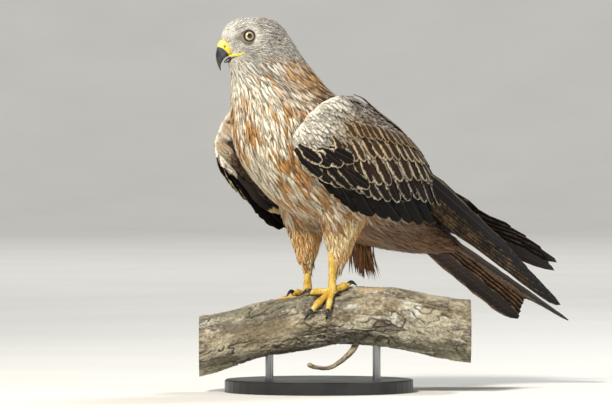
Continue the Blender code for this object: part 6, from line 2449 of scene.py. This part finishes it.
def dress_body(coat: Coat, head: Head) -> None:
    """Grows the coat of head, neck, breast, belly, back and tail root, a piece for each zone.

    On the head, feathers shrink towards the eyes and the bill.
    """
    for zone in ZONES:
        roots = coat.body_roots(zone)
        if zone.eye_gap is not None:
            apart = eye_distance(roots.place, coat.eye_centre) > zone.eye_gap
            roots = roots.only(apart & coat.clear_of_face(roots.place))
        if zone.name == "head_coat":
            eye = eye_distance(roots.place, coat.eye_centre)
            bill = np.linalg.norm(roots.place - BODY.head_turned(np.array([0.0, -143.0, 432.0])), axis=1)
            small = np.minimum(ramp(eye, 8, 24), ramp(bill, 12, 45)) * 0.6 + 0.4
            roots.length *= small
            roots.width *= 0.7 + 0.3 * small
            roots.rise *= small
        keep(coat.grow(zone.name, roots, zone.leaf, zone.sink), zone.slot, *zone.nodes)
        if zone.name == "head_coat":
            keep(coat.grow("muzzle_coat", coat.muzzle_roots(head), HAIR, 0.3), "head_feathers")


def eye_distance(points: Array, eye_centre: Array) -> Array:
    """Distance of each point from the nearer eye's centre."""
    centres = [BODY.head_turned(eye_centre * (sign, 1, 1)) for sign in (-1, 1)]
    return np.minimum(*(np.linalg.norm(points - centre, axis=1) for centre in centres))


def main() -> None:
    """Builds every sub-assembly in order and reports each piece."""
    logging.basicConfig(level=logging.INFO, format="%(name)s %(message)s")
    Studio().build()
    Stand().build()
    bark = BarkFinish().make()
    keep(Perch().build(bark), "bark", "perch")
    keep(Perch.twig(bark), "bark")
    head = Head()
    bill_finish = HornFinish("bill_keratin_and_waxy_cere").make()
    upper = keep(head.bill_upper(bill_finish), "bill_horn", "bill_upper")
    keep(head.bill_lower(bill_finish), "bill_horn", "bill_lower")
    keep(head.lips(HornFinish("waxy_gape_skin", 0.4, 0.1).make()), "bill_horn")
    eye_finish, lid_finish = EyeFinish().make(), SoftSkinFinish().make()
    for side in Side:
        keep(head.eye(side, eye_finish), "eye", f"eye_{side}")
        keep(head.lids(side, lid_finish), "eye")
    scaly, claw = ScaleFinish().make(), HornFinish("claw_keratin", 0.22, 0.5).make()
    for side in Side:
        skin_piece, claws = Foot(side).build(scaly, claw)
        keep(skin_piece, "yellow_skin", f"foot_{side}")
        keep(claws, "claw_horn", *(f"claw_{side}_{toe}" for toe in ("inner", "middle", "outer", "hind")))
    skin = Skin().build(DownFinish())
    bill_mesh = tree_of(upper, lambda centre: centre.y < -0.139)
    coat = Coat(skin, bill_mesh, head.eye_centre)
    dress_body(coat, head)
    for side in Side:
        keep(coat.grow(f"thigh_{side}_coat", thigh_coat(coat, side), LANCE), "body_feathers", f"thigh_{side}")
        keep(coat.hang(f"thigh_{side}_fringe", thigh_fringe(side), LANCE, 4.0), "body_feathers")
        keep(coat.grow(f"wing_{side}_lesser_coverts", wing_coat(coat, side), ROUND), "wing_feathers")
        keep(coat.grow(f"wing_{side}_lining", wing_lining(coat, side), ROUND), "wing_feathers")
    keep(coat.hang("vent_tuft", vent_tuft(), LANCE, 6.0), "body_feathers")
    vane = VaneFinish().make()
    for side in Side:
        for number, piece in enumerate(Wing(side).build(vane)):
            keep(piece, "wing_feathers", *((f"wing_{side}",) if number == 0 else ()))
    keep(Tail().build(vane), "tail_feathers", "tail")
    paint_skin(skin, coat.roots_seen)
    keep(skin, "body_feathers", "torso")


if __name__ == "__main__":
    main()
